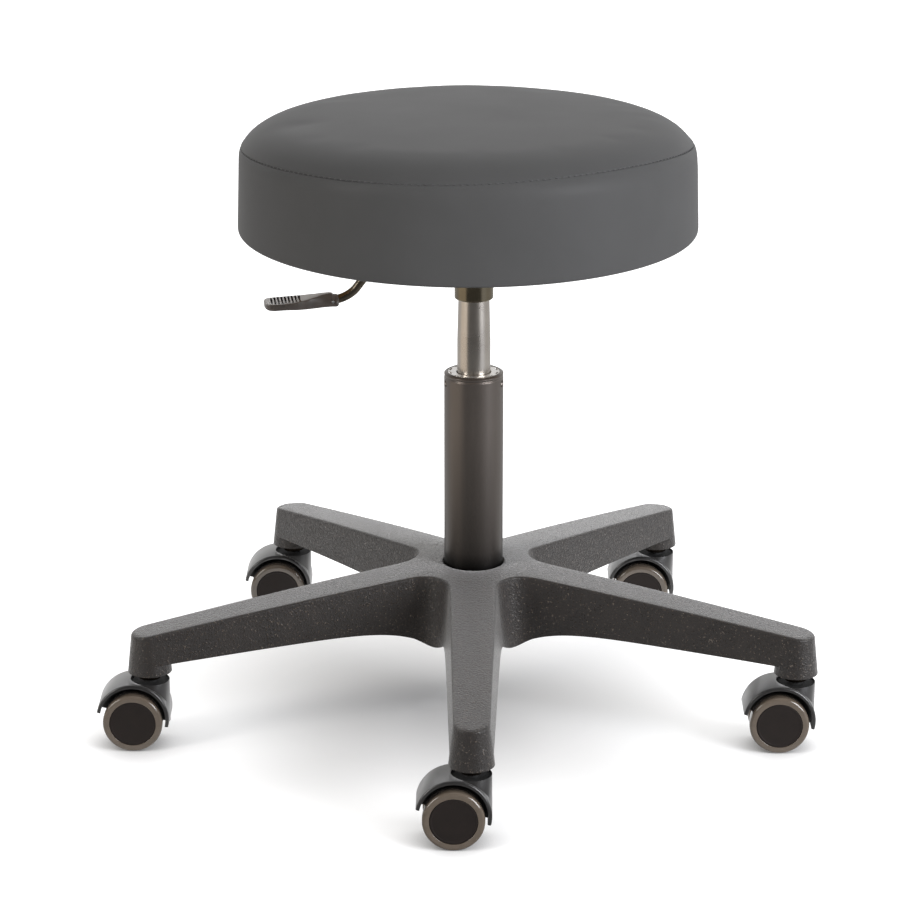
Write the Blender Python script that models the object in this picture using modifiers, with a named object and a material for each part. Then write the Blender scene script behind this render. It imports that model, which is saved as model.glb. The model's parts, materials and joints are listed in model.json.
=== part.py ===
"""Rolling stool: a round padded seat on a gas lift, with a five-leg base on twin-wheel casters.

Units are metres and +Z is up. The origin is on the column's axis at floor level.
One leg points to -Y, and every caster is drawn trailing to -X.
"""

import math

import bmesh
import bpy
from mathutils import Matrix, Vector
from mathutils.geometry import interpolate_bezier

# Clearances
REST_GAP = 0.0003
RUN_GAP = 0.0005

# Casters
WHEEL_DIAMETER = 0.050
WHEEL_WIDTH = 0.0157
TREAD_THICKNESS = 0.0057
TREAD_ROUNDING = 0.004
AXLE_DIAMETER = 0.006
WEB_THICKNESS = 0.009
HOOD_GAP = 0.0025
HOOD_RISE = 0.0035
HOOD_WALL = 0.003
HOOD_WIDTH = 0.037
HOOD_TILT = math.radians(12.5)
HOUSING_DIAMETER = 0.0300
HOUSING_RISE = 0.0005
CASTER_TRAIL = 0.014
STEM_DIAMETER = 0.011
STEM_LENGTH = 0.028
STEM_COLLAR_DIAMETER = 0.019
STEM_COLLAR_HEIGHT = 0.0058
SPIGOT_DIAMETER = 0.005
SPIGOT_LENGTH = 0.016

# Five-leg base
CASTER_NAMES = ("front", "right", "rear_right", "rear_left", "left")
STEM_CIRCLE_RADIUS = 0.285
LEG_TIP_RADIUS = 0.015
LEG_TIP_HEIGHT = 0.0336
LEG_ROOT_HALF_WIDTH = 0.020
LEG_ROOT_RADIUS = 0.060
LEG_FILLET_RADIUS = 0.025
LEG_FALL = 0.0335
LEG_CROWN = 0.001
LEG_TIP_DEPTH = 0.0265
LEG_DEEPENING = 0.0165
LEG_ROOT_FLARE = 0.0123
LEG_FLARE_POWER = 9
LEG_FLARE_END = 1.04
LEG_EDGE_ROUNDING = 0.0025
LEG_WALL = 0.0035
LEG_CEILING = 0.0045
DRAFT_ANGLE = math.radians(6.0)
POCKETS_PER_LEG = 4
HUB_FLAT_RADIUS = 0.040
HUB_DEPTH = 0.0725
HUB_SOCKET_WALL = 0.006
HUB_MOUTH_GAP = 0.0015

# Column and guide bush
COLUMN_DIAMETER = 0.050
COLUMN_WALL = 0.0015
COLUMN_FLOOR = 0.003
COLUMN_EXPOSED = 0.1695
COLUMN_TAPER = 0.0009
COLUMN_LIP = 0.0012
COLUMN_RIM_ROUNDING = 0.0025
GROOVE_DEPTH = 0.0007
GROOVE_WIDTH = 0.0025
GROOVE_BELOW_RIM = 0.005
DIMPLES = 2
DIMPLE_AZIMUTH = math.radians(173.0)
DIMPLE_DIAMETER = 0.004
DIMPLE_DEPTH = 0.0008
BUSH_LENGTH = 0.070
BUSH_POCKETS = 12
BUSH_POCKET_DEPTH = 0.010
BUSH_POCKET_WIDTH = 0.0035

# Gas spring
CYLINDER_DIAMETER = 0.028
CYLINDER_WALL = 0.002
CYLINDER_EXPOSED = 0.0642
CYLINDER_TAPER_BELOW_SLEEVE = 0.0372
CYLINDER_TAPER_IN_SLEEVE = 0.0298
TAPER_RATE = 0.025
LIFT_DOWN = 0.050
LIFT_UP = 0.080
LIFT_RESERVE = 0.008
ROD_DIAMETER = 0.010
ROD_NECK_DIAMETER = 0.008
PISTON_HEIGHT = 0.012
PISTON_RESERVE = 0.030
GLAND_HEIGHT = 0.008
WASHER_DIAMETER = 0.030
WASHER_HEIGHT = 0.002
BEARING_HEIGHT = 0.0035
BUMPER_DIAMETER = 0.022
BUMPER_HEIGHT = 0.012
CLIP_DIAMETER = 0.018
CLIP_HEIGHT = 0.0015
RELEASE_DIAMETER = 0.007
RELEASE_HEAD_DIAMETER = 0.010
RELEASE_HEAD_HEIGHT = 0.003
RELEASE_REACH = 0.0077
RELEASE_DEPTH = 0.009
RELEASE_TRAVEL = 0.005

# Seat plate and lever
SLEEVE_LENGTH = 0.0597
SLEEVE_DIAMETER = 0.0325
SLEEVE_ROUNDING = 0.0024
PLATE_SIDE = 0.150
PLATE_CORNER = 0.015
PLATE_THICKNESS = 0.0025
PLATE_HOLE_SPACING = 0.120
SCREW_DIAMETER = 0.006
SCREW_LENGTH = 0.012
SCREW_HEAD_DIAMETER = 0.012
SCREW_HEAD_HEIGHT = 0.004
LEVER_AZIMUTH = math.radians(187.0)
LEVER_DIAMETER = 0.0065
LEVER_TIP_OVERRUN = 0.003
LEVER_BEND_RADIUS = 0.073
LEVER_DROP = 0.0395
LEVER_DROP_RUN = 0.033
LEVER_END_RUN = 0.027
PIVOT_RADIUS = 0.026
PIVOT_PIN_DIAMETER = 0.004
PIVOT_BARREL_DIAMETER = 0.0095
PIVOT_BARREL_WIDTH = 0.010
EAR_THICKNESS = 0.003
EAR_WIDTH = 0.014
SLOT_WIDTH = 0.009
PADDLE_LENGTH = 0.062
PADDLE_WIDTH = 0.025
PADDLE_SOCKET_WIDTH = 0.0125
PADDLE_SOCKET_HEIGHT = 0.0098
PADDLE_THICKNESS = 0.0047
PADDLE_SOCKET_OVERLAP = 0.0195
PADDLE_GROOVES = 8
GROOVE_PITCH = 0.003
PADDLE_GROOVE_LENGTH = 0.016
PADDLE_GROOVE_DEPTH = 0.001
PADDLE_SCREW_DIAMETER = 0.002
PADDLE_SCREW_HEAD_DIAMETER = 0.0032
PADDLE_SCREW_INSET = 0.005

# Seat
SEAT_DIAMETER = 0.380
SEAT_HEIGHT = 0.0998
SEAT_CROWN_RISE = 0.0138
SEAT_CROWN_POWER = 2.6
SEAT_KNEE_INSET = 0.034
SEAT_BAND_HEIGHT = 0.065
SEAT_BAND_BULGE = 0.0006
SEAT_BAND_FLARE = 0.0015
SEAT_HEM_WIDTH = 0.030
SEAT_HEM_ROUNDING = 0.0025
SEAM_DEPTH = 0.0012
COVER_THICKNESS = 0.0014
BOARD_THICKNESS = 0.012

# Facets round each turned piece
WHEEL_STEPS = 20
SMALL_STEPS = 12
RING_STEPS = 16
COLUMN_STEPS = 24
SEAT_STEPS = 40

# Heights and radii that follow from the sizes above
WHEEL_RADIUS = WHEEL_DIAMETER / 2
HOOD_INNER_RADIUS = WHEEL_RADIUS + HOOD_GAP
HOOD_OUTER_RADIUS = HOOD_INNER_RADIUS + HOOD_WALL
HOOD_AXIS_HEIGHT = WHEEL_RADIUS + HOOD_RISE
HOOD_TOP = HOOD_AXIS_HEIGHT + HOOD_OUTER_RADIUS + HOUSING_RISE
COLLAR_BOTTOM = HOOD_TOP + REST_GAP
COLLAR_TOP = COLLAR_BOTTOM + STEM_COLLAR_HEIGHT
BOSS_BOTTOM = COLLAR_TOP + REST_GAP
TIP_TOP = BOSS_BOTTOM + LEG_TIP_HEIGHT
TIP_REACH = STEM_CIRCLE_RADIUS + LEG_TIP_RADIUS
HUB_TOP = TIP_TOP + LEG_FALL
HUB_BOTTOM = HUB_TOP - HUB_DEPTH
COLUMN_RADIUS = COLUMN_DIAMETER / 2
COLUMN_BORE_RADIUS = COLUMN_RADIUS - COLUMN_WALL
COLUMN_BOTTOM = HUB_BOTTOM + REST_GAP
COLUMN_TOP = HUB_TOP + COLUMN_EXPOSED
BUSH_TOP = COLUMN_TOP - COLUMN_LIP - REST_GAP
LOWER_WASHER_BOTTOM = COLUMN_BOTTOM + COLUMN_FLOOR + REST_GAP
BEARING_BOTTOM = LOWER_WASHER_BOTTOM + WASHER_HEIGHT + REST_GAP
UPPER_WASHER_BOTTOM = BEARING_BOTTOM + BEARING_HEIGHT + REST_GAP
ROD_SHOULDER = UPPER_WASHER_BOTTOM + WASHER_HEIGHT + REST_GAP
BUMPER_TOP = ROD_SHOULDER + BUMPER_HEIGHT
CLIP_TOP = COLUMN_BOTTOM - REST_GAP
ROD_BOTTOM = CLIP_TOP - CLIP_HEIGHT - 0.0015
CYLINDER_RADIUS = CYLINDER_DIAMETER / 2
CYLINDER_BOTTOM = BUMPER_TOP + LIFT_RESERVE + LIFT_DOWN
PISTON_BOTTOM = CYLINDER_BOTTOM + GLAND_HEIGHT + LIFT_UP + PISTON_RESERVE
ROD_TOP = PISTON_BOTTOM + PISTON_HEIGHT + REST_GAP
CAVITY_TOP = ROD_TOP + LIFT_DOWN + LIFT_RESERVE
SLEEVE_BOTTOM = COLUMN_TOP + CYLINDER_EXPOSED
TAPER_BOTTOM = SLEEVE_BOTTOM - CYLINDER_TAPER_BELOW_SLEEVE
CYLINDER_TOP = SLEEVE_BOTTOM + CYLINDER_TAPER_IN_SLEEVE
CYLINDER_TOP_RADIUS = CYLINDER_RADIUS - TAPER_RATE * (CYLINDER_TOP - TAPER_BOTTOM)
RELEASE_TOP = CYLINDER_TOP + RELEASE_REACH
RELEASE_BOTTOM = CYLINDER_TOP - RELEASE_DEPTH
PIVOT_HEIGHT = RELEASE_TOP + LEVER_DIAMETER / 2 + REST_GAP
PLATE_BOTTOM = SLEEVE_BOTTOM + SLEEVE_LENGTH
PLATE_TOP = PLATE_BOTTOM + PLATE_THICKNESS
BOARD_BOTTOM = PLATE_TOP + REST_GAP
BOARD_TOP = BOARD_BOTTOM + BOARD_THICKNESS
SEAT_BOTTOM = BOARD_BOTTOM - REST_GAP - COVER_THICKNESS
SEAT_RADIUS = SEAT_DIAMETER / 2
SEAT_KNEE_RADIUS = SEAT_RADIUS - SEAT_KNEE_INSET
SEAT_FOOT_RADIUS = SEAT_RADIUS + SEAT_BAND_FLARE
PADDLE_START = LEVER_BEND_RADIUS + LEVER_DROP_RUN + LEVER_END_RUN - PADDLE_SOCKET_OVERLAP
PADDLE_AXIS_HEIGHT = PIVOT_HEIGHT - LEVER_DROP
MERGE_DISTANCE = 0.00001


# Scene helpers

def clear_scene():
    """Remove the objects that a new file starts with."""
    for obj in list(bpy.data.objects):
        bpy.data.objects.remove(obj, do_unlink=True)


def new_collection(name):
    """Add a collection to the scene."""
    collection = bpy.data.collections.new(name)
    bpy.context.scene.collection.children.link(collection)
    return collection


def finish(name, colour, roughness, metallic=0.0):
    """Make a plain Principled material."""
    material = bpy.data.materials.new(name)
    material.use_nodes = True
    shader = material.node_tree.nodes["Principled BSDF"]
    shader.inputs["Base Color"].default_value = (*colour, 1.0)
    shader.inputs["Roughness"].default_value = roughness
    shader.inputs["Metallic"].default_value = metallic
    return material


def place(name, mesh, material, parent=None, location=(0.0, 0.0, 0.0), rotation=(0.0, 0.0, 0.0)):
    """Add a mesh to the stool as a named piece."""
    obj = bpy.data.objects.new(name, mesh)
    PARTS.objects.link(obj)
    obj.parent = parent
    obj.location = location
    obj.rotation_euler = rotation
    if not mesh.materials:
        mesh.materials.append(material)
    return obj


def pivot(name, location, parent=None):
    """Add an empty on a joint's axis."""
    empty = bpy.data.objects.new(name, None)
    PARTS.objects.link(empty)
    empty.empty_display_size = 0.02
    empty.parent = parent
    empty.location = location
    return empty


def make_cutter(obj):
    """Move an object out of the stool and hide it, for use in Booleans."""
    for collection in list(obj.users_collection):
        collection.objects.unlink(obj)
    CUTTERS.objects.link(obj)
    obj.hide_render = True
    obj.display_type = "WIRE"
    return obj


def boolean(obj, operand, operation="DIFFERENCE"):
    """Join or cut an object with another."""
    modifier = obj.modifiers.new(operand.name, "BOOLEAN")
    modifier.solver = "EXACT"
    modifier.operation = operation
    modifier.object = operand
    return modifier


def settled_mesh(obj):
    """Apply an object's modifiers and give the mesh that results."""
    bpy.context.view_layer.update()
    graph = bpy.context.evaluated_depsgraph_get()
    return bpy.data.meshes.new_from_object(obj.evaluated_get(graph))


def mesh_from(bm, name):
    """Turn an edit mesh into mesh data with its faces looking out."""
    bmesh.ops.recalc_face_normals(bm, faces=bm.faces)
    mesh = bpy.data.meshes.new(name)
    bm.to_mesh(mesh)
    bm.free()
    return mesh


def add_box(bm, centre, size, turn=None):
    """Add a box to an edit mesh."""
    matrix = Matrix.Diagonal((*size, 1.0))
    if turn is not None:
        matrix = turn @ matrix
    bmesh.ops.create_cube(bm, size=1.0, matrix=Matrix.Translation(centre) @ matrix)


def add_cylinder(bm, centre, radius, length, steps, turn=None, end_radius=None):
    """Add a cylinder or a cone to an edit mesh, along local Z."""
    matrix = Matrix.Translation(centre)
    if turn is not None:
        matrix = matrix @ turn
    top = radius if end_radius is None else end_radius
    bmesh.ops.create_cone(
        bm, cap_ends=True, segments=steps, radius1=radius, radius2=top, depth=length, matrix=matrix
    )


def turned(name, profile, steps, material, parent=None, location=(0.0, 0.0, 0.0),
           rotation=(0.0, 0.0, 0.0), ring=True, phase=0.0):
    """Turn a profile of (radius, height) points, listed down its outer side, about local Z."""
    points = []
    for radius, height in profile:
        points.append((radius * math.cos(phase), radius * math.sin(phase), height))
    edges = [(index, index + 1) for index in range(len(points) - 1)]
    if ring:
        edges.append((len(points) - 1, 0))
    mesh = bpy.data.meshes.new(name)
    mesh.from_pydata(points, edges, [])
    obj = place(name, mesh, material, parent, location, rotation)
    screw = obj.modifiers.new("Turn", "SCREW")
    screw.steps = steps
    screw.render_steps = steps
    screw.use_merge_vertices = True
    screw.merge_threshold = MERGE_DISTANCE
    screw.use_smooth_shade = False
    return obj


# Casters

def tread_profile():
    """The soft tread's section: flats on the true radius, with rounded shoulders."""
    outer = WHEEL_RADIUS / math.cos(math.pi / WHEEL_STEPS)
    inner = WHEEL_RADIUS - TREAD_THICKNESS + REST_GAP
    far = WHEEL_WIDTH
    soft = TREAD_ROUNDING
    return [
        (inner, far), (outer - soft, far), (outer - 0.3 * soft, far - 0.3 * soft), (outer, far - soft),
        (outer, soft), (outer - 0.3 * soft, 0.3 * soft), (outer - soft, 0.0), (inner, 0.0),
    ]


def core_profile():
    """The wheel core's section: a closed outer face and a blind axle bore."""
    rim = WHEEL_RADIUS - TREAD_THICKNESS
    bore = AXLE_DIAMETER / 2 + RUN_GAP
    face = WHEEL_WIDTH - 0.0005
    end = 0.75 * WHEEL_WIDTH
    return [(0.0, face), (rim, face), (rim, 0.0), (bore, 0.0), (bore, end), (0.0, end)]


def stem_profile():
    """The stem's section: grip pin, load collar and the spigot held by the hood."""
    pin = STEM_DIAMETER / 2
    collar = STEM_COLLAR_DIAMETER / 2
    spigot = SPIGOT_DIAMETER / 2
    top = BOSS_BOTTOM + STEM_LENGTH
    low = COLLAR_BOTTOM - SPIGOT_LENGTH
    return [
        (0.0, top), (pin, top), (pin, COLLAR_TOP), (collar, COLLAR_TOP), (collar, COLLAR_BOTTOM),
        (spigot, COLLAR_BOTTOM), (spigot, low), (0.0, low),
    ]


def hood_mesh():
    """The caster body: half a drum over the wheels, the stem housing and the web between the wheels."""
    sideways = Matrix.Rotation(math.pi / 2, 4, "X")
    axle = Vector((-CASTER_TRAIL, 0.0, WHEEL_RADIUS))
    drum = Vector((-CASTER_TRAIL, 0.0, HOOD_AXIS_HEIGHT))
    bm = bmesh.new()
    add_cylinder(bm, drum, HOOD_OUTER_RADIUS, HOOD_WIDTH, 36, sideways)
    body = place("hood_body", mesh_from(bm, "hood_body"), BLACK_PLASTIC)

    low = 0.5 * WHEEL_RADIUS
    bm = bmesh.new()
    centre = Vector((0.0, 0.0, (low + HOOD_TOP) / 2))
    add_cylinder(bm, centre, HOUSING_DIAMETER / 2, HOOD_TOP - low, 24)
    housing = make_cutter(place("hood_housing", mesh_from(bm, "hood_housing"), BLACK_PLASTIC))
    boolean(body, housing, "UNION")

    tilt = Matrix.Rotation(HOOD_TILT, 4, "Y")
    depth = 3 * HOOD_OUTER_RADIUS
    bm = bmesh.new()
    add_box(bm, axle + tilt @ Vector((0.0, 0.0, -depth / 2)), (3 * depth, depth, depth), tilt)
    lower_half = make_cutter(place("hood_lower_half", mesh_from(bm, "hood_lower_half"), BLACK_PLASTIC))
    boolean(body, lower_half)

    bm = bmesh.new()
    add_cylinder(bm, axle, AXLE_DIAMETER + 0.001, 2 * WEB_THICKNESS, 20, sideways)
    boss = make_cutter(place("hood_axle_boss", mesh_from(bm, "hood_axle_boss"), BLACK_PLASTIC))
    boolean(body, boss, "UNION")

    bm = bmesh.new()
    room = HOOD_WIDTH
    for side in (-1, 1):
        centre = drum + Vector((0.0, side * (WEB_THICKNESS / 2 + room / 2), 0.0))
        add_cylinder(bm, centre, HOOD_INNER_RADIUS, room, 36, sideways)
    wheel_room = make_cutter(place("hood_wheel_room", mesh_from(bm, "hood_wheel_room"), BLACK_PLASTIC))
    boolean(body, wheel_room)

    bm = bmesh.new()
    add_cylinder(bm, axle, AXLE_DIAMETER / 2 + REST_GAP, 2 * WEB_THICKNESS, SMALL_STEPS, sideways)
    bore_depth = SPIGOT_LENGTH + 2 * REST_GAP
    centre = Vector((0.0, 0.0, HOOD_TOP - bore_depth / 2 + 0.002))
    add_cylinder(bm, centre, SPIGOT_DIAMETER / 2 + REST_GAP, bore_depth + 0.004, SMALL_STEPS)
    bores = make_cutter(place("hood_bores", mesh_from(bm, "hood_bores"), BLACK_PLASTIC))
    boolean(body, bores)

    mesh = settled_mesh(body)
    mesh.name = "caster_hood"
    bpy.data.objects.remove(body, do_unlink=True)
    return mesh


def build_casters(stem_points):
    """Place a hood, stem, axle and two wheels under each leg."""
    hood = hood_mesh()
    flat_down = math.pi / WHEEL_STEPS
    wheel_inset = WEB_THICKNESS / 2 + REST_GAP
    axle_half = wheel_inset + 0.7 * WHEEL_WIDTH
    pin = AXLE_DIAMETER / 2
    ends = [(0.0, axle_half), (pin, axle_half), (pin, -axle_half), (0.0, -axle_half)]
    crossways = (math.pi / 2, 0.0, 0.0)
    axle = (-CASTER_TRAIL, 0.0, WHEEL_RADIUS)
    for name, point in zip(CASTER_NAMES, stem_points):
        caster = pivot(f"{name}_caster_pivot", (point.x, point.y, 0.0))
        place(f"{name}_caster_hood", hood, BLACK_PLASTIC, caster)
        turned(f"{name}_caster_stem", stem_profile(), SMALL_STEPS, STEEL, caster, ring=False)
        turned(f"{name}_caster_axle", ends, SMALL_STEPS, STEEL, caster, axle, crossways, ring=False)
        for letter, side in (("a", -1), ("b", 1)):
            spot = (-CASTER_TRAIL, side * wheel_inset, WHEEL_RADIUS)
            lean = (-side * math.pi / 2, 0.0, 0.0)
            wheel = f"{name}_wheel_{letter}"
            place_at = (caster, spot, lean)
            turned(f"{wheel}_core", core_profile(), WHEEL_STEPS, DARK_PLASTIC, *place_at, False, flat_down)
            turned(f"{wheel}_tread", tread_profile(), WHEEL_STEPS, TREAD, *place_at, True, flat_down)


# Five-leg base

def leg_top(radius):
    """Height of a leg's top at a distance from the column."""
    along = max(0.0, (radius - HUB_FLAT_RADIUS) / (TIP_REACH - HUB_FLAT_RADIUS))
    return HUB_TOP - LEG_FALL * along + 4 * LEG_CROWN * along * max(0.0, 1 - along)


def leg_bottom(radius):
    """Height of a leg's underside, which slopes down and flares at the root, at a distance from the column."""
    rest = max(0.0, (STEM_CIRCLE_RADIUS - radius) / (STEM_CIRCLE_RADIUS - LEG_ROOT_RADIUS))
    rest = min(LEG_FLARE_END, rest)
    depth = LEG_TIP_DEPTH + LEG_DEEPENING * rest + LEG_ROOT_FLARE * rest ** LEG_FLARE_POWER
    return leg_top(radius) - depth


class LegPlan:
    """One leg seen from above, pointing along +X: tapered sides, a round tip and half of each root fillet."""

    def __init__(self):
        run = STEM_CIRCLE_RADIUS - LEG_ROOT_RADIUS
        reach = math.hypot(LEG_ROOT_HALF_WIDTH, run)
        self.taper = math.acos(LEG_TIP_RADIUS / reach) - math.atan2(run, LEG_ROOT_HALF_WIDTH)
        self.normal = Vector((math.sin(self.taper), math.cos(self.taper)))
        root = Vector((LEG_ROOT_RADIUS, LEG_ROOT_HALF_WIDTH))
        self.half_turn = math.pi / len(CASTER_NAMES)
        distance = (LEG_FILLET_RADIUS + root.dot(self.normal)) / math.sin(self.half_turn + self.taper)
        self.fillet_centre = distance * Vector((math.cos(self.half_turn), math.sin(self.half_turn)))
        self.start = self.fillet_centre - LEG_FILLET_RADIUS * self.normal
        self.tip = Vector((STEM_CIRCLE_RADIUS, 0.0))
        self.end = self.tip + LEG_TIP_RADIUS * self.normal

    def half_width(self, along):
        """Half the leg's width at a distance along it."""
        return self.start.y - (along - self.start.x) * math.tan(self.taper)

    def stations(self):
        """Distances along the leg where its sides have points; the last is at the tip's tangent."""
        last = STEM_CIRCLE_RADIUS - 1.8 * LEG_TIP_RADIUS
        count = 6
        places = [self.start.x + (last - self.start.x) * step / count for step in range(count + 1)]
        return places + [self.end.x]

    def tip_arc(self, count=10):
        """Angles round the tip, from its right tangent to its left, without the tangents."""
        reach = math.pi / 2 - self.taper
        return [-reach + 2 * reach * step / count for step in range(1, count)]

    def fillet_arc(self, count=8):
        """Angles round the root fillet on the left side, without its ends."""
        first = 1.5 * math.pi - self.taper
        last = 2 * self.half_turn + math.pi / 2 + self.taper
        return [first + (last - first) * step / count for step in range(1, count)]


class StarLoft:
    """Builds the base's outside skin as rings of points that follow the star's outline."""

    def __init__(self):
        self.plan = LegPlan()
        self.bm = bmesh.new()
        rounding = LEG_EDGE_ROUNDING
        self.edge_levels = [(-rounding, 0.0), (-0.3 * rounding, 0.3 * rounding), (0.0, rounding)]

    def outline(self, azimuth):
        """Points and outward normals along one leg, with the mark of each point."""
        plan = self.plan
        normal = plan.normal
        right = []
        left = []
        for along in plan.stations():
            width = plan.half_width(along)
            right.append((Vector((along, -width)), Vector((normal.x, -normal.y)), "side"))
            left.append((Vector((along, width)), normal.copy(), "side"))
        tip = []
        for angle in plan.tip_arc():
            out = Vector((math.cos(angle), math.sin(angle)))
            tip.append((plan.tip + LEG_TIP_RADIUS * out, out, "tip"))
        fillet = []
        for angle in plan.fillet_arc():
            out = Vector((math.cos(angle), math.sin(angle)))
            fillet.append((plan.fillet_centre + LEG_FILLET_RADIUS * out, -out, "fillet"))
        turn = Matrix.Rotation(azimuth, 2)
        groups = {"right": right, "tip": tip, "left": left, "fillet": fillet}
        for group in groups.values():
            group[:] = [(turn @ point, turn @ out, mark) for point, out, mark in group]
        return groups

    def column(self, point, out, low):
        """The points of the skin at one place on the outline, from the top edge to a lower height."""
        radius = point.length
        top = leg_top(radius)
        made = []
        for offset, drop in self.edge_levels:
            spot = point + offset * out
            made.append(self.bm.verts.new((spot.x, spot.y, top - drop)))
        made.append(self.foot(point, out, low))
        return made

    def foot(self, point, out, low):
        """A point at the bottom of the drafted side."""
        drop = leg_top(point.length) - LEG_EDGE_ROUNDING - low
        spot = point + math.tan(DRAFT_ANGLE) * drop * out
        return self.bm.verts.new((spot.x, spot.y, low))

    def wall(self, columns):
        """Faces between neighbouring columns of points."""
        for first, second in zip(columns, columns[1:]):
            for level in range(len(first) - 1):
                self.bm.faces.new((first[level], second[level], second[level + 1], first[level + 1]))

    def leg(self, azimuth):
        """Skin one leg and return its root columns and its fillet's columns."""
        groups = self.outline(azimuth)
        right = [self.column(point, out, leg_bottom(point.length)) for point, out, _ in groups["right"]]
        left = [self.column(point, out, leg_bottom(point.length)) for point, out, _ in groups["left"]]
        tip = [self.column(point, out, BOSS_BOTTOM) for point, out, _ in groups["tip"]]
        fillet = [self.column(point, out, leg_bottom(point.length)) for point, out, _ in groups["fillet"]]
        right_foot = self.foot(*groups["right"][-1][:2], BOSS_BOTTOM)
        left_foot = self.foot(*groups["left"][-1][:2], BOSS_BOTTOM)
        self.wall(right)
        self.wall(left)
        self.wall(tip)
        self.tip_joint(right[-1], right_foot, tip[0])
        self.tip_joint(left[-1], left_foot, tip[-1])
        for near, far in zip(range(len(right) - 1), range(1, len(right))):
            self.bm.faces.new((right[near][0], right[far][0], left[far][0], left[near][0]))
        self.bm.faces.new([right[-1][0], *[column[0] for column in tip], left[-1][0]])
        for near, far in zip(range(len(right) - 2), range(1, len(right) - 1)):
            self.bm.faces.new((right[near][3], right[far][3], left[far][3], left[near][3]))
        self.boss(azimuth, right, left, right_foot, left_foot, tip)
        return right[0], left[0], fillet

    def tip_joint(self, side, foot, first):
        """Faces between a leg's straight side and the first column of its round tip."""
        for level in range(2):
            self.bm.faces.new((side[level], first[level], first[level + 1], side[level + 1]))
        self.bm.faces.new((side[2], first[2], first[3], foot, side[3]))

    def boss(self, azimuth, right, left, right_foot, left_foot, tip):
        """The stem boss that stands below the leg: its inner wall and bottom."""
        turn = Matrix.Rotation(azimuth, 2)
        centre = turn @ self.plan.tip
        high_radius = ((right[-1][3].co.xy) - centre).length
        low_radius = (right_foot.co.xy - centre).length
        first = math.pi / 2 + self.plan.taper
        count = 10
        high = []
        low = []
        for step in range(1, count):
            angle = azimuth - first - (2 * math.pi - 2 * first) * step / count
            out = Vector((math.cos(angle), math.sin(angle)))
            spot = centre + high_radius * out
            high.append(self.bm.verts.new((spot.x, spot.y, leg_bottom(spot.length))))
            spot = centre + low_radius * out
            low.append(self.bm.verts.new((spot.x, spot.y, BOSS_BOTTOM)))
        high = [right[-1][3], *high, left[-1][3]]
        low = [right_foot, *low, left_foot]
        for index in range(count):
            self.bm.faces.new((high[index], high[index + 1], low[index + 1], low[index]))
        self.bm.faces.new([right[-2][3], *high, left[-2][3]])
        self.bm.faces.new([*low, *[column[3] for column in reversed(tip)]])

    def build(self, azimuths):
        """Skin every leg, then the fillets and the hub."""
        roots = [self.leg(azimuth) for azimuth in azimuths]
        rim = []
        for index, (right, left, fillet) in enumerate(roots):
            following = roots[(index + 1) % len(roots)][0]
            self.wall([left, *fillet, following])
            rim.extend([right, left, *fillet])
        for level, height in ((0, HUB_TOP), (3, leg_bottom(self.plan.start.x))):
            middle = self.bm.verts.new((0.0, 0.0, height))
            for first, second in zip(rim, rim[1:] + rim[:1]):
                self.bm.faces.new((middle, first[level], second[level]))
        return mesh_from(self.bm, "base_star")


def pocket_cutters(plan, azimuths):
    """Tapered blocks that hollow the legs from below and leave cross ribs between them."""
    bm = bmesh.new()
    first = COLUMN_RADIUS + HUB_SOCKET_WALL + LEG_WALL
    last = STEM_CIRCLE_RADIUS - LEG_TIP_RADIUS - 3 * LEG_WALL
    pitch = (last + LEG_WALL - first) / POCKETS_PER_LEG
    for azimuth in azimuths:
        turn = Matrix.Rotation(azimuth, 3, "Z")
        for index in range(POCKETS_PER_LEG):
            near = first + index * pitch
            far = near + pitch - LEG_WALL
            block = bmesh.ops.create_cube(bm, size=2.0)
            for vert in block["verts"]:
                along = far if vert.co.x > 0 else near
                width = plan.half_width(max(along, plan.start.x)) - LEG_WALL
                height = leg_top(along) - LEG_CEILING if vert.co.z > 0 else HUB_BOTTOM - 0.02
                vert.co = turn @ Vector((along, math.copysign(width, vert.co.y), height))
    return make_cutter(place("leg_pockets", mesh_from(bm, "leg_pockets"), NYLON))


def build_base(azimuths, stem_points):
    """The moulded star with its column socket, stem sockets and ribbed underside."""
    loft = StarLoft()
    star = place("base_star", loft.build(azimuths), NYLON)

    taper_end = COLUMN_RADIUS - COLUMN_TAPER
    bm = bmesh.new()
    socket_height = HUB_TOP - 2 * LEG_CEILING - HUB_BOTTOM
    centre = Vector((0.0, 0.0, HUB_BOTTOM + socket_height / 2))
    add_cylinder(bm, centre, COLUMN_RADIUS + HUB_SOCKET_WALL, socket_height, 36)
    socket = make_cutter(place("hub_socket", mesh_from(bm, "hub_socket"), NYLON))
    boolean(star, socket, "UNION")
    boolean(star, pocket_cutters(loft.plan, azimuths))

    mouth = COLUMN_RADIUS + HUB_MOUTH_GAP
    profile = [
        (0.0, HUB_TOP + 0.01), (mouth, HUB_TOP + 0.01), (mouth, HUB_TOP - 0.004),
        (COLUMN_RADIUS + REST_GAP, HUB_TOP - 0.012), (taper_end + REST_GAP, HUB_BOTTOM),
        (taper_end + REST_GAP, HUB_BOTTOM - 0.01), (0.0, HUB_BOTTOM - 0.01),
    ]
    boolean(star, make_cutter(turned("column_room", profile, COLUMN_STEPS, NYLON, ring=False)))

    bm = bmesh.new()
    bore_length = STEM_LENGTH + 0.001
    for point in stem_points:
        centre = Vector((point.x, point.y, BOSS_BOTTOM + bore_length / 2 - 0.002))
        add_cylinder(bm, centre, STEM_DIAMETER / 2 + RUN_GAP, bore_length + 0.004, 16)
    boolean(star, make_cutter(place("stem_bores", mesh_from(bm, "stem_bores"), NYLON)))


# Column and gas spring

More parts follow.
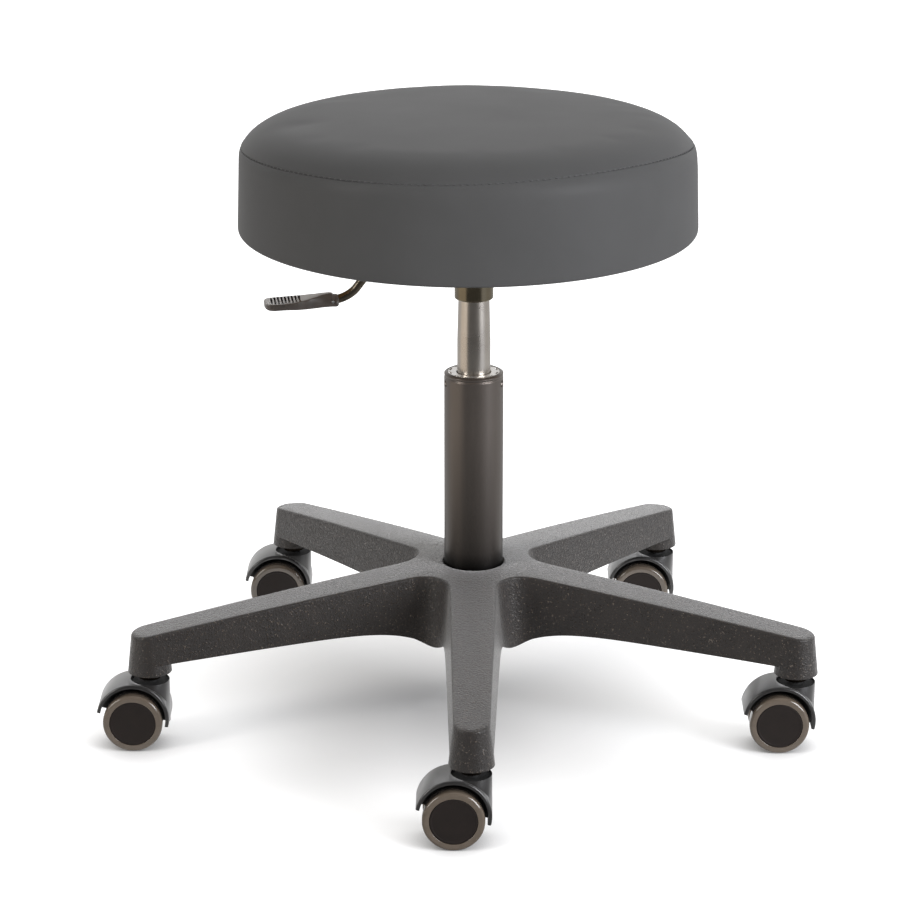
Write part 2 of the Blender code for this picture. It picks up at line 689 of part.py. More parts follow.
def build_column():
    """The column tube, with its rolled rim, ring groove and crimp dimples, and the guide bush in its mouth."""
    outer = COLUMN_RADIUS
    bore = COLUMN_BORE_RADIUS
    low = COLUMN_RADIUS - COLUMN_TAPER
    neck = ROD_NECK_DIAMETER / 2 + RUN_GAP
    groove = COLUMN_TOP - GROOVE_BELOW_RIM
    floor_top = COLUMN_BOTTOM + COLUMN_FLOOR
    lip = bore - COLUMN_LIP
    soft = COLUMN_RIM_ROUNDING
    profile = [
        (lip, COLUMN_TOP), (outer - soft, COLUMN_TOP), (outer - 0.3 * soft, COLUMN_TOP - 0.3 * soft),
        (outer, COLUMN_TOP - soft), (outer, groove + GROOVE_WIDTH / 2), (outer - GROOVE_DEPTH, groove),
        (outer, groove - GROOVE_WIDTH / 2), (outer, HUB_TOP - 0.012), (low, COLUMN_BOTTOM),
        (neck, COLUMN_BOTTOM), (neck, floor_top), (low - COLUMN_WALL, floor_top), (bore, HUB_TOP - 0.012),
        (bore, COLUMN_TOP - COLUMN_LIP), (lip, COLUMN_TOP - COLUMN_LIP),
    ]
    tube = turned("column_tube", profile, COLUMN_STEPS, SATIN_STEEL)
    bm = bmesh.new()
    for index in range(DIMPLES):
        angle = DIMPLE_AZIMUTH + index * 2 * math.pi / DIMPLES
        out = Vector((math.cos(angle), math.sin(angle), 0.0))
        turn = out.to_track_quat("Z", "Y").to_matrix().to_4x4()
        flat = outer * math.cos(math.pi / COLUMN_STEPS)
        centre = out * (flat - DIMPLE_DEPTH + 0.002)
        centre.z = groove - GROOVE_WIDTH / 2 - DIMPLE_DIAMETER
        add_cylinder(bm, centre, DIMPLE_DIAMETER / 2, 0.004, 8, turn)
    boolean(tube, make_cutter(place("column_dimples", mesh_from(bm, "column_dimples"), SATIN_STEEL)))

    sleeve = CYLINDER_RADIUS + RUN_GAP
    skirt = bore - REST_GAP
    bottom = BUSH_TOP - BUSH_LENGTH
    profile = [(sleeve, BUSH_TOP), (skirt, BUSH_TOP), (skirt, bottom), (sleeve, bottom)]
    bush = turned("guide_bush", profile, COLUMN_STEPS, PALE_PLASTIC)
    middle = (sleeve + skirt) / 2
    bm = bmesh.new()
    for index in range(BUSH_POCKETS):
        angle = (index + 0.5) * 2 * math.pi / BUSH_POCKETS
        turn = Matrix.Rotation(angle, 4, "Z")
        arc = 0.5 * middle * 2 * math.pi / BUSH_POCKETS
        centre = turn @ Vector((middle, 0.0, BUSH_TOP))
        add_box(bm, centre, (BUSH_POCKET_WIDTH, arc, 2 * BUSH_POCKET_DEPTH), turn)
    boolean(bush, make_cutter(place("bush_pockets", mesh_from(bm, "bush_pockets"), PALE_PLASTIC)))


def build_gas_spring():
    """The cylinder and its valve button, the piston rod and the thrust bearing it stands on."""
    rod = ROD_DIAMETER / 2
    neck = ROD_NECK_DIAMETER / 2
    cavity = CYLINDER_RADIUS - CYLINDER_WALL
    valve = RELEASE_DIAMETER / 2 + REST_GAP
    valve_floor = RELEASE_BOTTOM - RELEASE_TRAVEL
    gland = rod + REST_GAP
    profile = [
        (valve, CYLINDER_TOP), (CYLINDER_TOP_RADIUS, CYLINDER_TOP), (CYLINDER_RADIUS, TAPER_BOTTOM),
        (CYLINDER_RADIUS, CYLINDER_BOTTOM), (gland, CYLINDER_BOTTOM), (gland, CYLINDER_BOTTOM + GLAND_HEIGHT),
        (cavity, CYLINDER_BOTTOM + GLAND_HEIGHT), (cavity, TAPER_BOTTOM - 0.004), (0.5 * cavity, CAVITY_TOP),
        (0.0, CAVITY_TOP),
    ]
    lower = turned("gas_cylinder", [(0.0, CYLINDER_TOP), *profile[1:]], COLUMN_STEPS, BARE_STEEL, ring=False)
    bm = bmesh.new()
    length = CYLINDER_TOP - valve_floor
    add_cylinder(bm, Vector((0.0, 0.0, valve_floor + length)), valve, 2 * length, COLUMN_STEPS)
    boolean(lower, make_cutter(place("valve_bore", mesh_from(bm, "valve_bore"), BARE_STEEL)))

    pin = RELEASE_DIAMETER / 2
    head = RELEASE_HEAD_DIAMETER / 2
    under = RELEASE_TOP - RELEASE_HEAD_HEIGHT
    profile = [
        (0.0, RELEASE_TOP), (head, RELEASE_TOP), (head, under), (pin, under), (pin, RELEASE_BOTTOM),
        (0.0, RELEASE_BOTTOM),
    ]
    turned("release_pin", profile, SMALL_STEPS, STEEL, ring=False)

    profile = [
        (0.0, ROD_TOP), (neck, ROD_TOP), (neck, PISTON_BOTTOM), (rod, PISTON_BOTTOM - REST_GAP),
        (rod, ROD_SHOULDER), (neck, ROD_SHOULDER), (neck, ROD_BOTTOM), (0.0, ROD_BOTTOM),
    ]
    turned("piston_rod", profile, RING_STEPS, STEEL, ring=False)
    ring_bore = neck + RUN_GAP
    washer = WASHER_DIAMETER / 2
    bumper = BUMPER_DIAMETER / 2
    clip = CLIP_DIAMETER / 2
    ring_piece("piston", cavity - REST_GAP, neck + REST_GAP, PISTON_BOTTOM, PISTON_HEIGHT, DARK_PLASTIC)
    ring_piece("thrust_washer_lower", washer, ring_bore, LOWER_WASHER_BOTTOM, WASHER_HEIGHT, STEEL)
    ring_piece("thrust_bearing", washer - 0.001, ring_bore, BEARING_BOTTOM, BEARING_HEIGHT, STEEL)
    ring_piece("thrust_washer_upper", washer, ring_bore, UPPER_WASHER_BOTTOM, WASHER_HEIGHT, STEEL)
    ring_piece("bumper", bumper, rod + REST_GAP, ROD_SHOULDER, BUMPER_HEIGHT, RUBBER)
    ring_piece("retaining_clip", clip, neck + REST_GAP, CLIP_TOP - CLIP_HEIGHT, CLIP_HEIGHT, STEEL)


def ring_piece(name, outer, inner, bottom, height, material):
    """A plain ring on the column's axis."""
    top = bottom + height
    return turned(name, [(inner, top), (outer, top), (outer, bottom), (inner, bottom)], RING_STEPS, material)


# Seat plate and lever

def lever_frame():
    """A turn that takes local +X along the lever."""
    return Matrix.Rotation(LEVER_AZIMUTH, 4, "Z")


def build_seat_plate(hole_points):
    """The pressed plate with its taper sleeve, lever slot and pivot ears."""
    bm = bmesh.new()
    centre = Vector((0.0, 0.0, PLATE_BOTTOM + PLATE_THICKNESS / 2))
    add_box(bm, centre, (PLATE_SIDE, PLATE_SIDE, PLATE_THICKNESS))
    half = PLATE_THICKNESS / 2
    upright = [edge for edge in bm.edges if abs(edge.verts[0].co.z - edge.verts[1].co.z) > half]
    bmesh.ops.bevel(bm, geom=upright, offset=PLATE_CORNER, segments=4, profile=0.5, affect="EDGES")
    plate = place("seat_plate", mesh_from(bm, "seat_plate"), BLACK_STEEL)

    outer = SLEEVE_DIAMETER / 2
    soft = SLEEVE_ROUNDING
    top = PLATE_BOTTOM + PLATE_THICKNESS / 2
    mouth = CYLINDER_RADIUS - TAPER_RATE * (SLEEVE_BOTTOM - TAPER_BOTTOM) + REST_GAP
    inside = CYLINDER_TOP_RADIUS + REST_GAP
    room_top = PLATE_BOTTOM - 0.003
    profile = [
        (0.0, top), (outer, top), (outer, SLEEVE_BOTTOM + soft),
        (outer - 0.3 * soft, SLEEVE_BOTTOM + 0.3 * soft), (outer - 0.8 * soft, SLEEVE_BOTTOM),
        (mouth, SLEEVE_BOTTOM), (inside, CYLINDER_TOP), (inside, room_top), (0.0, room_top),
    ]
    sleeve = make_cutter(turned("plate_sleeve", profile, COLUMN_STEPS, BLACK_STEEL, ring=False))
    boolean(plate, sleeve, "UNION")

    frame = lever_frame()
    ear_low = PIVOT_HEIGHT - EAR_WIDTH / 2
    ear_centre = PIVOT_BARREL_WIDTH / 2 + REST_GAP + EAR_THICKNESS / 2
    bm = bmesh.new()
    for side in (-1, 1):
        centre = frame @ Vector((PIVOT_RADIUS, side * ear_centre, (ear_low + top) / 2))
        add_box(bm, centre, (EAR_WIDTH, EAR_THICKNESS, top - ear_low), frame)
    ears = make_cutter(place("plate_ears", mesh_from(bm, "plate_ears"), BLACK_STEEL))
    boolean(plate, ears, "UNION")

    bm = bmesh.new()
    slot_low = RELEASE_TOP - RELEASE_TRAVEL
    slot_top = PIVOT_HEIGHT + LEVER_DIAMETER
    centre = frame @ Vector((outer, 0.0, (slot_low + slot_top) / 2))
    add_box(bm, centre, (outer, SLOT_WIDTH, slot_top - slot_low), frame)
    turn = frame @ Matrix.Rotation(math.pi / 2, 4, "X")
    centre = frame @ Vector((PIVOT_RADIUS, 0.0, PIVOT_HEIGHT))
    add_cylinder(bm, centre, PIVOT_PIN_DIAMETER / 2 + REST_GAP, 3 * PIVOT_BARREL_WIDTH, SMALL_STEPS, turn)
    for point in hole_points:
        centre = Vector((point.x, point.y, PLATE_BOTTOM))
        add_cylinder(bm, centre, SCREW_DIAMETER / 2 + REST_GAP, 4 * PLATE_THICKNESS, SMALL_STEPS)
    boolean(plate, make_cutter(place("plate_openings", mesh_from(bm, "plate_openings"), BLACK_STEEL)))

    head = SCREW_HEAD_DIAMETER / 2
    shank = SCREW_DIAMETER / 2
    top = PLATE_BOTTOM + SCREW_LENGTH
    under = PLATE_BOTTOM - REST_GAP
    low = under - SCREW_HEAD_HEIGHT
    profile = [(0.0, top), (shank, top), (shank, under), (head, under), (head, low), (0.0, low)]
    for index, point in enumerate(hole_points):
        spot = (point.x, point.y, 0.0)
        turned(f"plate_screw_{index + 1}", profile, SMALL_STEPS, STEEL, None, spot, ring=False)


def lever_path():
    """The lever rod's centre line in its own plane: straight, bent down, then level again."""
    corner_one = Vector((LEVER_BEND_RADIUS, 0.0))
    corner_two = Vector((LEVER_BEND_RADIUS + LEVER_DROP_RUN, -LEVER_DROP))
    start = Vector((-LEVER_TIP_OVERRUN, 0.0))
    end = corner_two + Vector((LEVER_END_RUN, 0.0))
    slope = (corner_two - corner_one).normalized()
    level = Vector((1.0, 0.0))
    soft = min(0.14 * (corner_two - corner_one).length, 0.9 * (LEVER_END_RUN - PADDLE_SOCKET_OVERLAP))
    points = [start]
    for corner, before, after in ((corner_one, level, slope), (corner_two, slope, level)):
        first = corner - soft * before
        last = corner + soft * after
        handles = (corner - 0.45 * soft * before, corner + 0.45 * soft * after)
        for point in interpolate_bezier(first, *handles, last, 6):
            points.append(Vector((point[0], point[1])))
    points.append(end)
    return points


def build_lever():
    """The bent rod with its pivot barrel, the ribbed paddle, its screw and the pivot pin."""
    frame = lever_frame()
    hinge = frame @ Vector((PIVOT_RADIUS, 0.0, PIVOT_HEIGHT))
    lever = pivot("lever_pivot", hinge)
    turn = (0.0, 0.0, LEVER_AZIMUTH)

    curve = bpy.data.curves.new("lever_rod", "CURVE")
    curve.dimensions = "3D"
    curve.bevel_depth = LEVER_DIAMETER / 2
    curve.bevel_resolution = 2
    curve.use_fill_caps = True
    path = lever_path()
    spline = curve.splines.new("POLY")
    spline.points.add(len(path) - 1)
    for spot, point in zip(path, spline.points):
        point.co = (spot.x - PIVOT_RADIUS, 0.0, spot.y, 1.0)
    drawn = bpy.data.objects.new("lever_rod_curve", curve)
    PARTS.objects.link(drawn)
    mesh = settled_mesh(drawn)
    bpy.data.objects.remove(drawn, do_unlink=True)
    bm = bmesh.new()
    bm.from_mesh(mesh)
    bmesh.ops.remove_doubles(bm, verts=bm.verts, dist=MERGE_DISTANCE)
    rod = place("lever_rod", mesh_from(bm, "lever_rod"), BLACK_STEEL, lever, rotation=turn)

    sideways = Matrix.Rotation(math.pi / 2, 4, "X")
    bm = bmesh.new()
    add_cylinder(bm, Vector(), PIVOT_BARREL_DIAMETER / 2, PIVOT_BARREL_WIDTH, 16, sideways)
    drawn = place("lever_barrel", mesh_from(bm, "lever_barrel"), BLACK_STEEL, lever, rotation=turn)
    boolean(rod, make_cutter(drawn), "UNION")
    bm = bmesh.new()
    bore = PIVOT_PIN_DIAMETER / 2 + REST_GAP
    add_cylinder(bm, Vector(), bore, 2 * PIVOT_BARREL_WIDTH, SMALL_STEPS, sideways)
    drawn = place("lever_bore", mesh_from(bm, "lever_bore"), BLACK_STEEL, lever, rotation=turn)
    boolean(rod, make_cutter(drawn))

    pin_half = PIVOT_BARREL_WIDTH / 2 + REST_GAP + EAR_THICKNESS + 0.001
    pin = PIVOT_PIN_DIAMETER / 2
    profile = [(0.0, pin_half), (pin, pin_half), (pin, -pin_half), (0.0, -pin_half)]
    pose = (math.pi / 2, 0.0, LEVER_AZIMUTH)
    turned("lever_pivot_pin", profile, SMALL_STEPS, STEEL, None, hinge, pose, ring=False)
    build_paddle(lever, turn)


def paddle_sections():
    """Stations along the paddle: share of its length, half width, top and bottom about the rod's end."""
    half = PADDLE_WIDTH / 2
    neck = PADDLE_SOCKET_WIDTH / 2
    tall = PADDLE_SOCKET_HEIGHT / 2
    low = -0.8 * tall
    flat = low + PADDLE_THICKNESS
    return [
        (0.00, 0.88 * neck, 0.82 * tall, -0.82 * tall), (0.03, neck, tall, -tall), (0.18, neck, tall, -tall),
        (0.33, 0.8 * neck + 0.2 * half, 0.80 * tall + 0.20 * flat, -0.98 * tall),
        (0.45, 0.45 * neck + 0.55 * half, 0.62 * tall + 0.38 * flat, -0.92 * tall),
        (0.58, 0.1 * neck + 0.9 * half, 0.42 * tall + 0.58 * flat, -0.86 * tall),
        (0.72, half, 0.22 * tall + 0.78 * flat, -0.83 * tall), (0.86, half, 0.05 * tall + 0.95 * flat, low),
        (0.95, 0.86 * half, flat - 0.0004, low), (0.99, 0.58 * half, flat - 0.0008, low + 0.0004),
        (1.00, 0.40 * half, flat - 0.0014, low + 0.0010),
    ]


def paddle_top(share):
    """Height of the paddle's top at a share of its length, about the rod's end."""
    sections = paddle_sections()
    for first, second in zip(sections, sections[1:]):
        if first[0] <= share <= second[0]:
            between = (share - first[0]) / (second[0] - first[0])
            return first[2] + (second[2] - first[2]) * between
    return sections[-1][2]


def build_paddle(lever, turn):
    """Loft the paddle from its socket to its wide tip, then cut the rod's bore and the finger grooves."""
    bm = bmesh.new()
    rings = []
    start = PADDLE_START - PIVOT_RADIUS
    axis = PADDLE_AXIS_HEIGHT - PIVOT_HEIGHT
    for share, half, top, low in paddle_sections():
        along = start + share * PADDLE_LENGTH
        soft = 0.24 * (top - low)
        corners = [
            (half, low + soft), (half, top - soft), (half - soft, top), (soft - half, top),
            (-half, top - soft), (-half, low + soft), (soft - half, low), (half - soft, low),
        ]
        rings.append([bm.verts.new((along, across, axis + height)) for across, height in corners])
    count = len(rings[0])
    for first, second in zip(rings, rings[1:]):
        for index in range(count):
            after = (index + 1) % count
            bm.faces.new((first[index], first[after], second[after], second[index]))
    bm.faces.new(rings[0])
    bm.faces.new(rings[-1])
    paddle = place("lever_paddle", mesh_from(bm, "lever_paddle"), GREY_PLASTIC, lever, rotation=turn)

    bm = bmesh.new()
    bore = LEVER_DIAMETER / 2 + REST_GAP
    along = Matrix.Rotation(math.pi / 2, 4, "Y")
    bore_end = start + PADDLE_SOCKET_OVERLAP + 0.0006
    bore_length = bore_end - start + 0.01
    add_cylinder(bm, Vector((bore_end - bore_length / 2, 0.0, axis)), bore, bore_length, SMALL_STEPS, along)
    first_groove = 0.90 * PADDLE_LENGTH
    for index in range(PADDLE_GROOVES):
        run = first_groove - index * GROOVE_PITCH
        spot = Vector((start + run, 0.0, axis + paddle_top(run / PADDLE_LENGTH)))
        length = PADDLE_GROOVE_LENGTH if index else 0.8 * PADDLE_GROOVE_LENGTH
        add_box(bm, spot, (0.4 * GROOVE_PITCH, length, 2 * PADDLE_GROOVE_DEPTH + 0.0004))
    drawn = place("paddle_cuts", mesh_from(bm, "paddle_cuts"), GREY_PLASTIC, lever, rotation=turn)
    boolean(paddle, make_cutter(drawn))

    inset = start + PADDLE_SCREW_INSET
    neck = PADDLE_SOCKET_WIDTH / 2
    screw = PADDLE_SCREW_DIAMETER / 2
    head = PADDLE_SCREW_HEAD_DIAMETER / 2
    sideways = Matrix.Rotation(-math.pi / 2, 4, "X")
    bm = bmesh.new()
    hole_length = neck - LEVER_DIAMETER / 2 + 0.002
    centre = Vector((inset, neck + 0.001 - hole_length / 2, axis))
    add_cylinder(bm, centre, screw + REST_GAP, hole_length, SMALL_STEPS, sideways)
    drawn = place("screw_hole", mesh_from(bm, "screw_hole"), GREY_PLASTIC, lever, rotation=turn)
    boolean(paddle, make_cutter(drawn))
    tip = LEVER_DIAMETER / 2 + REST_GAP - neck
    profile = [(0.0, 0.0015), (head, 0.0010), (head, REST_GAP), (screw, REST_GAP), (screw, tip), (0.0, tip)]
    frame = Matrix.Rotation(LEVER_AZIMUTH, 4, "Z")
    spot = frame @ Vector((inset, neck, axis))
    pose = (-math.pi / 2, 0.0, LEVER_AZIMUTH)
    turned("paddle_screw", profile, SMALL_STEPS, STEEL, lever, spot, pose, ring=False)


# Seat

def seat_section(inset, crown_steps=4, shoulder_steps=6):
    """The seat's outside from the middle of its top to the top of its band, drawn in by an inset."""
    top = SEAT_BOTTOM + SEAT_HEIGHT - inset
    points = []
    for step in range(crown_steps):
        radius = SEAT_KNEE_RADIUS * step / crown_steps
        points.append((radius, top - SEAT_CROWN_RISE * (radius / SEAT_KNEE_RADIUS) ** SEAT_CROWN_POWER))
    knee = Vector((SEAT_KNEE_RADIUS, top - SEAT_CROWN_RISE))
    fall = SEAT_CROWN_RISE * SEAT_CROWN_POWER / SEAT_KNEE_RADIUS
    band = Vector((SEAT_RADIUS - inset, SEAT_BOTTOM + SEAT_BAND_HEIGHT))
    along = Vector((1.0, -fall)).normalized()
    handle_one = knee + 0.42 * SEAT_KNEE_INSET * along
    handle_two = band + Vector((0.0, 0.40 * (knee.y - band.y)))
    for point in interpolate_bezier(knee, handle_one, handle_two, band, shoulder_steps):
        points.append((point[0], point[1]))
    return points


def build_seat(hole_points):
    """The plywood board, the foam and the stitched cover that wraps round them."""
    inside = COVER_THICKNESS
    foot = SEAT_FOOT_RADIUS
    bulge = (SEAT_RADIUS + foot) / 2 + SEAT_BAND_BULGE
    soft = SEAT_HEM_ROUNDING
    hem = SEAT_RADIUS - SEAT_HEM_WIDTH
    middle = SEAT_BOTTOM + 0.5 * SEAT_BAND_HEIGHT
    seam = SEAT_BOTTOM + SEAT_BAND_HEIGHT - 0.004
    outside = seat_section(0.0)
    outside += [
        (SEAT_RADIUS + 0.0002, seam + 0.0012), (SEAT_RADIUS - SEAM_DEPTH, seam),
        (SEAT_RADIUS + 0.0002, seam - 0.0012), (bulge, middle), (foot, SEAT_BOTTOM + soft),
        (foot - 0.3 * soft, SEAT_BOTTOM + 0.3 * soft), (foot - soft, SEAT_BOTTOM), (hem, SEAT_BOTTOM),
    ]
    lining = seat_section(inside, 3, 4)
    lining += [(SEAT_RADIUS - inside - SEAM_DEPTH, seam), (SEAT_RADIUS - inside, middle)]
    lining += [(foot - inside - 0.5 * soft, SEAT_BOTTOM + inside), (hem, SEAT_BOTTOM + inside)]
    turned("seat_cover", outside + lining[::-1], SEAT_STEPS, VINYL, ring=False)

    gap = inside + REST_GAP
    section = seat_section(gap, 3, 4)
    edge = SEAT_RADIUS - gap - SEAM_DEPTH
    foam_low = BOARD_TOP + REST_GAP
    profile = section[:-1] + [(edge, SEAT_BOTTOM + SEAT_BAND_HEIGHT), (edge, foam_low), (0.0, foam_low)]
    turned("seat_foam", profile, SEAT_STEPS, FOAM, ring=False)

    edge = SEAT_RADIUS - gap - SEAT_HEM_ROUNDING
    bm = bmesh.new()
    centre = Vector((0.0, 0.0, BOARD_BOTTOM + BOARD_THICKNESS / 2))
    add_cylinder(bm, centre, edge, BOARD_THICKNESS, SEAT_STEPS)
    board = place("seat_board", mesh_from(bm, "seat_board"), PLYWOOD)
    bm = bmesh.new()
    for point in hole_points:
        centre = Vector((point.x, point.y, BOARD_BOTTOM + BOARD_THICKNESS / 2))
        add_cylinder(bm, centre, SCREW_DIAMETER / 2 + REST_GAP, 2 * BOARD_THICKNESS, SMALL_STEPS)
    boolean(board, make_cutter(place("board_holes", mesh_from(bm, "board_holes"), PLYWOOD)))


# Stool

clear_scene()
PARTS = new_collection("rolling_stool")
CUTTERS = new_collection("cutters")
VINYL = finish("grey_vinyl", (0.105, 0.105, 0.107), 0.48)
FOAM = finish("seat_foam", (0.72, 0.66, 0.45), 0.9)
PLYWOOD = finish("plywood", (0.52, 0.36, 0.20), 0.7)
NYLON = finish("black_nylon", (0.032, 0.030, 0.029), 0.5)
BLACK_PLASTIC = finish("black_plastic", (0.018, 0.018, 0.020), 0.4)
DARK_PLASTIC = finish("dark_plastic", (0.030, 0.027, 0.025), 0.6)
GREY_PLASTIC = finish("grey_plastic", (0.075, 0.070, 0.066), 0.5)
PALE_PLASTIC = finish("pale_plastic", (0.62, 0.61, 0.58), 0.5)
TREAD = finish("grey_tread", (0.165, 0.150, 0.132), 0.42)
RUBBER = finish("black_rubber", (0.020, 0.020, 0.020), 0.8)
SATIN_STEEL = finish("dark_column_steel", (0.045, 0.041, 0.039), 0.35, 0.6)
BLACK_STEEL = finish("black_steel", (0.022, 0.021, 0.019), 0.3, 0.4)
BARE_STEEL = finish("bare_steel", (0.42, 0.41, 0.39), 0.3, 1.0)
STEEL = finish("plain_steel", (0.50, 0.50, 0.50), 0.35, 1.0)

LEGS = len(CASTER_NAMES)
AZIMUTHS = [math.radians(-90.0) + 2 * math.pi * index / LEGS for index in range(LEGS)]
STEM_POINTS = [STEM_CIRCLE_RADIUS * Vector((math.cos(angle), math.sin(angle))) for angle in AZIMUTHS]
HALF_SPACING = PLATE_HOLE_SPACING / 2
HOLE_CORNERS = ((-1, -1), (1, -1), (1, 1), (-1, 1))
HOLE_POINTS = [Vector((x * HALF_SPACING, y * HALF_SPACING)) for x, y in HOLE_CORNERS]

build_base(AZIMUTHS, STEM_POINTS)
build_casters(STEM_POINTS)
build_column()
build_gas_spring()
build_seat_plate(HOLE_POINTS)
build_lever()
build_seat(HOLE_POINTS)
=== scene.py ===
"""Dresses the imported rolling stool: upholstered seat, gas lift, lever, moulded base and casters.

Lengths are in metres and +Z is up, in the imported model's own frame. The column stands on the Z axis,
the floor is at zero, one leg points to -Y and the casters trail to -X.
"""

from __future__ import annotations

import json
import logging
import math
from collections.abc import Callable, Iterable
from dataclasses import dataclass, field
from enum import Enum

import bmesh
import bpy
from bmesh.types import BMesh, BMVert
from bpy.types import Material, Node, NodeSocket, NodeTree, Object
from mathutils import Matrix, Vector
from mathutils.geometry import interpolate_bezier

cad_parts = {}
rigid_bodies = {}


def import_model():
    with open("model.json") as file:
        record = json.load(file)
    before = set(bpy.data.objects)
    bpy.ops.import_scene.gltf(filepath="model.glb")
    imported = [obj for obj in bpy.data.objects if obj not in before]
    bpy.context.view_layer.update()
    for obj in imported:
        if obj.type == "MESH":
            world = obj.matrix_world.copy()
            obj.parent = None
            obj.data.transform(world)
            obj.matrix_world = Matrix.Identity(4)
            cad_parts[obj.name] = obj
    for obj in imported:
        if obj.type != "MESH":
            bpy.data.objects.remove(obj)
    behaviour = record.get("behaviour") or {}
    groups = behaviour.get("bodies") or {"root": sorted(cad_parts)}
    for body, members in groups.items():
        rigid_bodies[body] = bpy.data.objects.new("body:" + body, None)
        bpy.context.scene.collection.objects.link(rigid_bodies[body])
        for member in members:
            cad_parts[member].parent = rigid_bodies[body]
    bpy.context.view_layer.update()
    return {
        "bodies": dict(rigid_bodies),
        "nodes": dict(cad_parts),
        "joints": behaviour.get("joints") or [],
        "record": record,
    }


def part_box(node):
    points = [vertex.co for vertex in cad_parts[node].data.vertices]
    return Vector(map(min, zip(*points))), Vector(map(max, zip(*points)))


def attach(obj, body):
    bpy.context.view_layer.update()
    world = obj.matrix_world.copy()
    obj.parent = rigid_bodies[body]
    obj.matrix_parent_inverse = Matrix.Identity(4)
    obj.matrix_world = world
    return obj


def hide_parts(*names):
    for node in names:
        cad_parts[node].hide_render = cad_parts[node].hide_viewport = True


LOG = logging.getLogger("rolling_stool")
MM = 0.001
FULL_TURN = 2 * math.pi
WELD = 0.00001
WHITE = (1.0, 1.0, 1.0, 1.0)
COAT_ROUGHNESS = 0.12
SPECK_EDGE = 0.08
# The spans of a noise's values that the tones, the gloss and the grit use in full.
TONE_RANGE = (0.3, 0.7)
GLOSS_RANGE = (0.25, 0.75)
GRIT_RANGE = (0.35, 0.65)

# Sizes and places that sub-assemblies share.
HUB_TOP = 0.1330
LEVER_AZIMUTH = math.radians(187.0)
PIVOT_RADIUS = 0.026
PIVOT_HEIGHT = 0.40775
PIN_HOLE = 0.0023
CLEARANCE = 0.0003
SIDEWAYS = (math.pi / 2, 0.0, 0.0)

Pair = tuple[float, float]
Triple = tuple[float, float, float]
Profile = list[Pair]


# Materials

def linear_colour(code: str) -> tuple[float, float, float, float]:
    """Turn an sRGB hex colour into linear red, green, blue and alpha.

    Args:
        code: Six hex digits, with or without a leading hash.

    Returns:
        The linear colour with full alpha.
    """
    digits = code.lstrip("#")
    channels = []
    for start in (0, 2, 4):
        value = int(digits[start:start + 2], 16) / 255
        channels.append(value / 12.92 if value <= 0.04045 else ((value + 0.055) / 1.055) ** 2.4)
    return (channels[0], channels[1], channels[2], 1.0)


def add_node(tree: NodeTree, kind: str, inputs: dict | tuple = (), **settings: object) -> Node:
    """Add a node with its settings, input values and links.

    Args:
        tree: The node tree that takes the node.
        kind: Blender's name for the type of shader node.
        inputs: Values, or sockets to link from, in order or each with its input's name or number.
        settings: Attributes of the node itself.

    Returns:
        The new node.
    """
    node = tree.nodes.new("ShaderNode" + kind)
    for name, value in settings.items():
        setattr(node, name, value)
    for key, value in (inputs.items() if isinstance(inputs, dict) else enumerate(inputs)):
        if isinstance(value, NodeSocket):
            tree.links.new(value, node.inputs[key])
        else:
            node.inputs[key].default_value = value
    return node


class Relief(Enum):
    """The kind of fine relief on a surface."""

    NOISE = "noise"
    CELLS = "cells"
    RINGS = "rings"


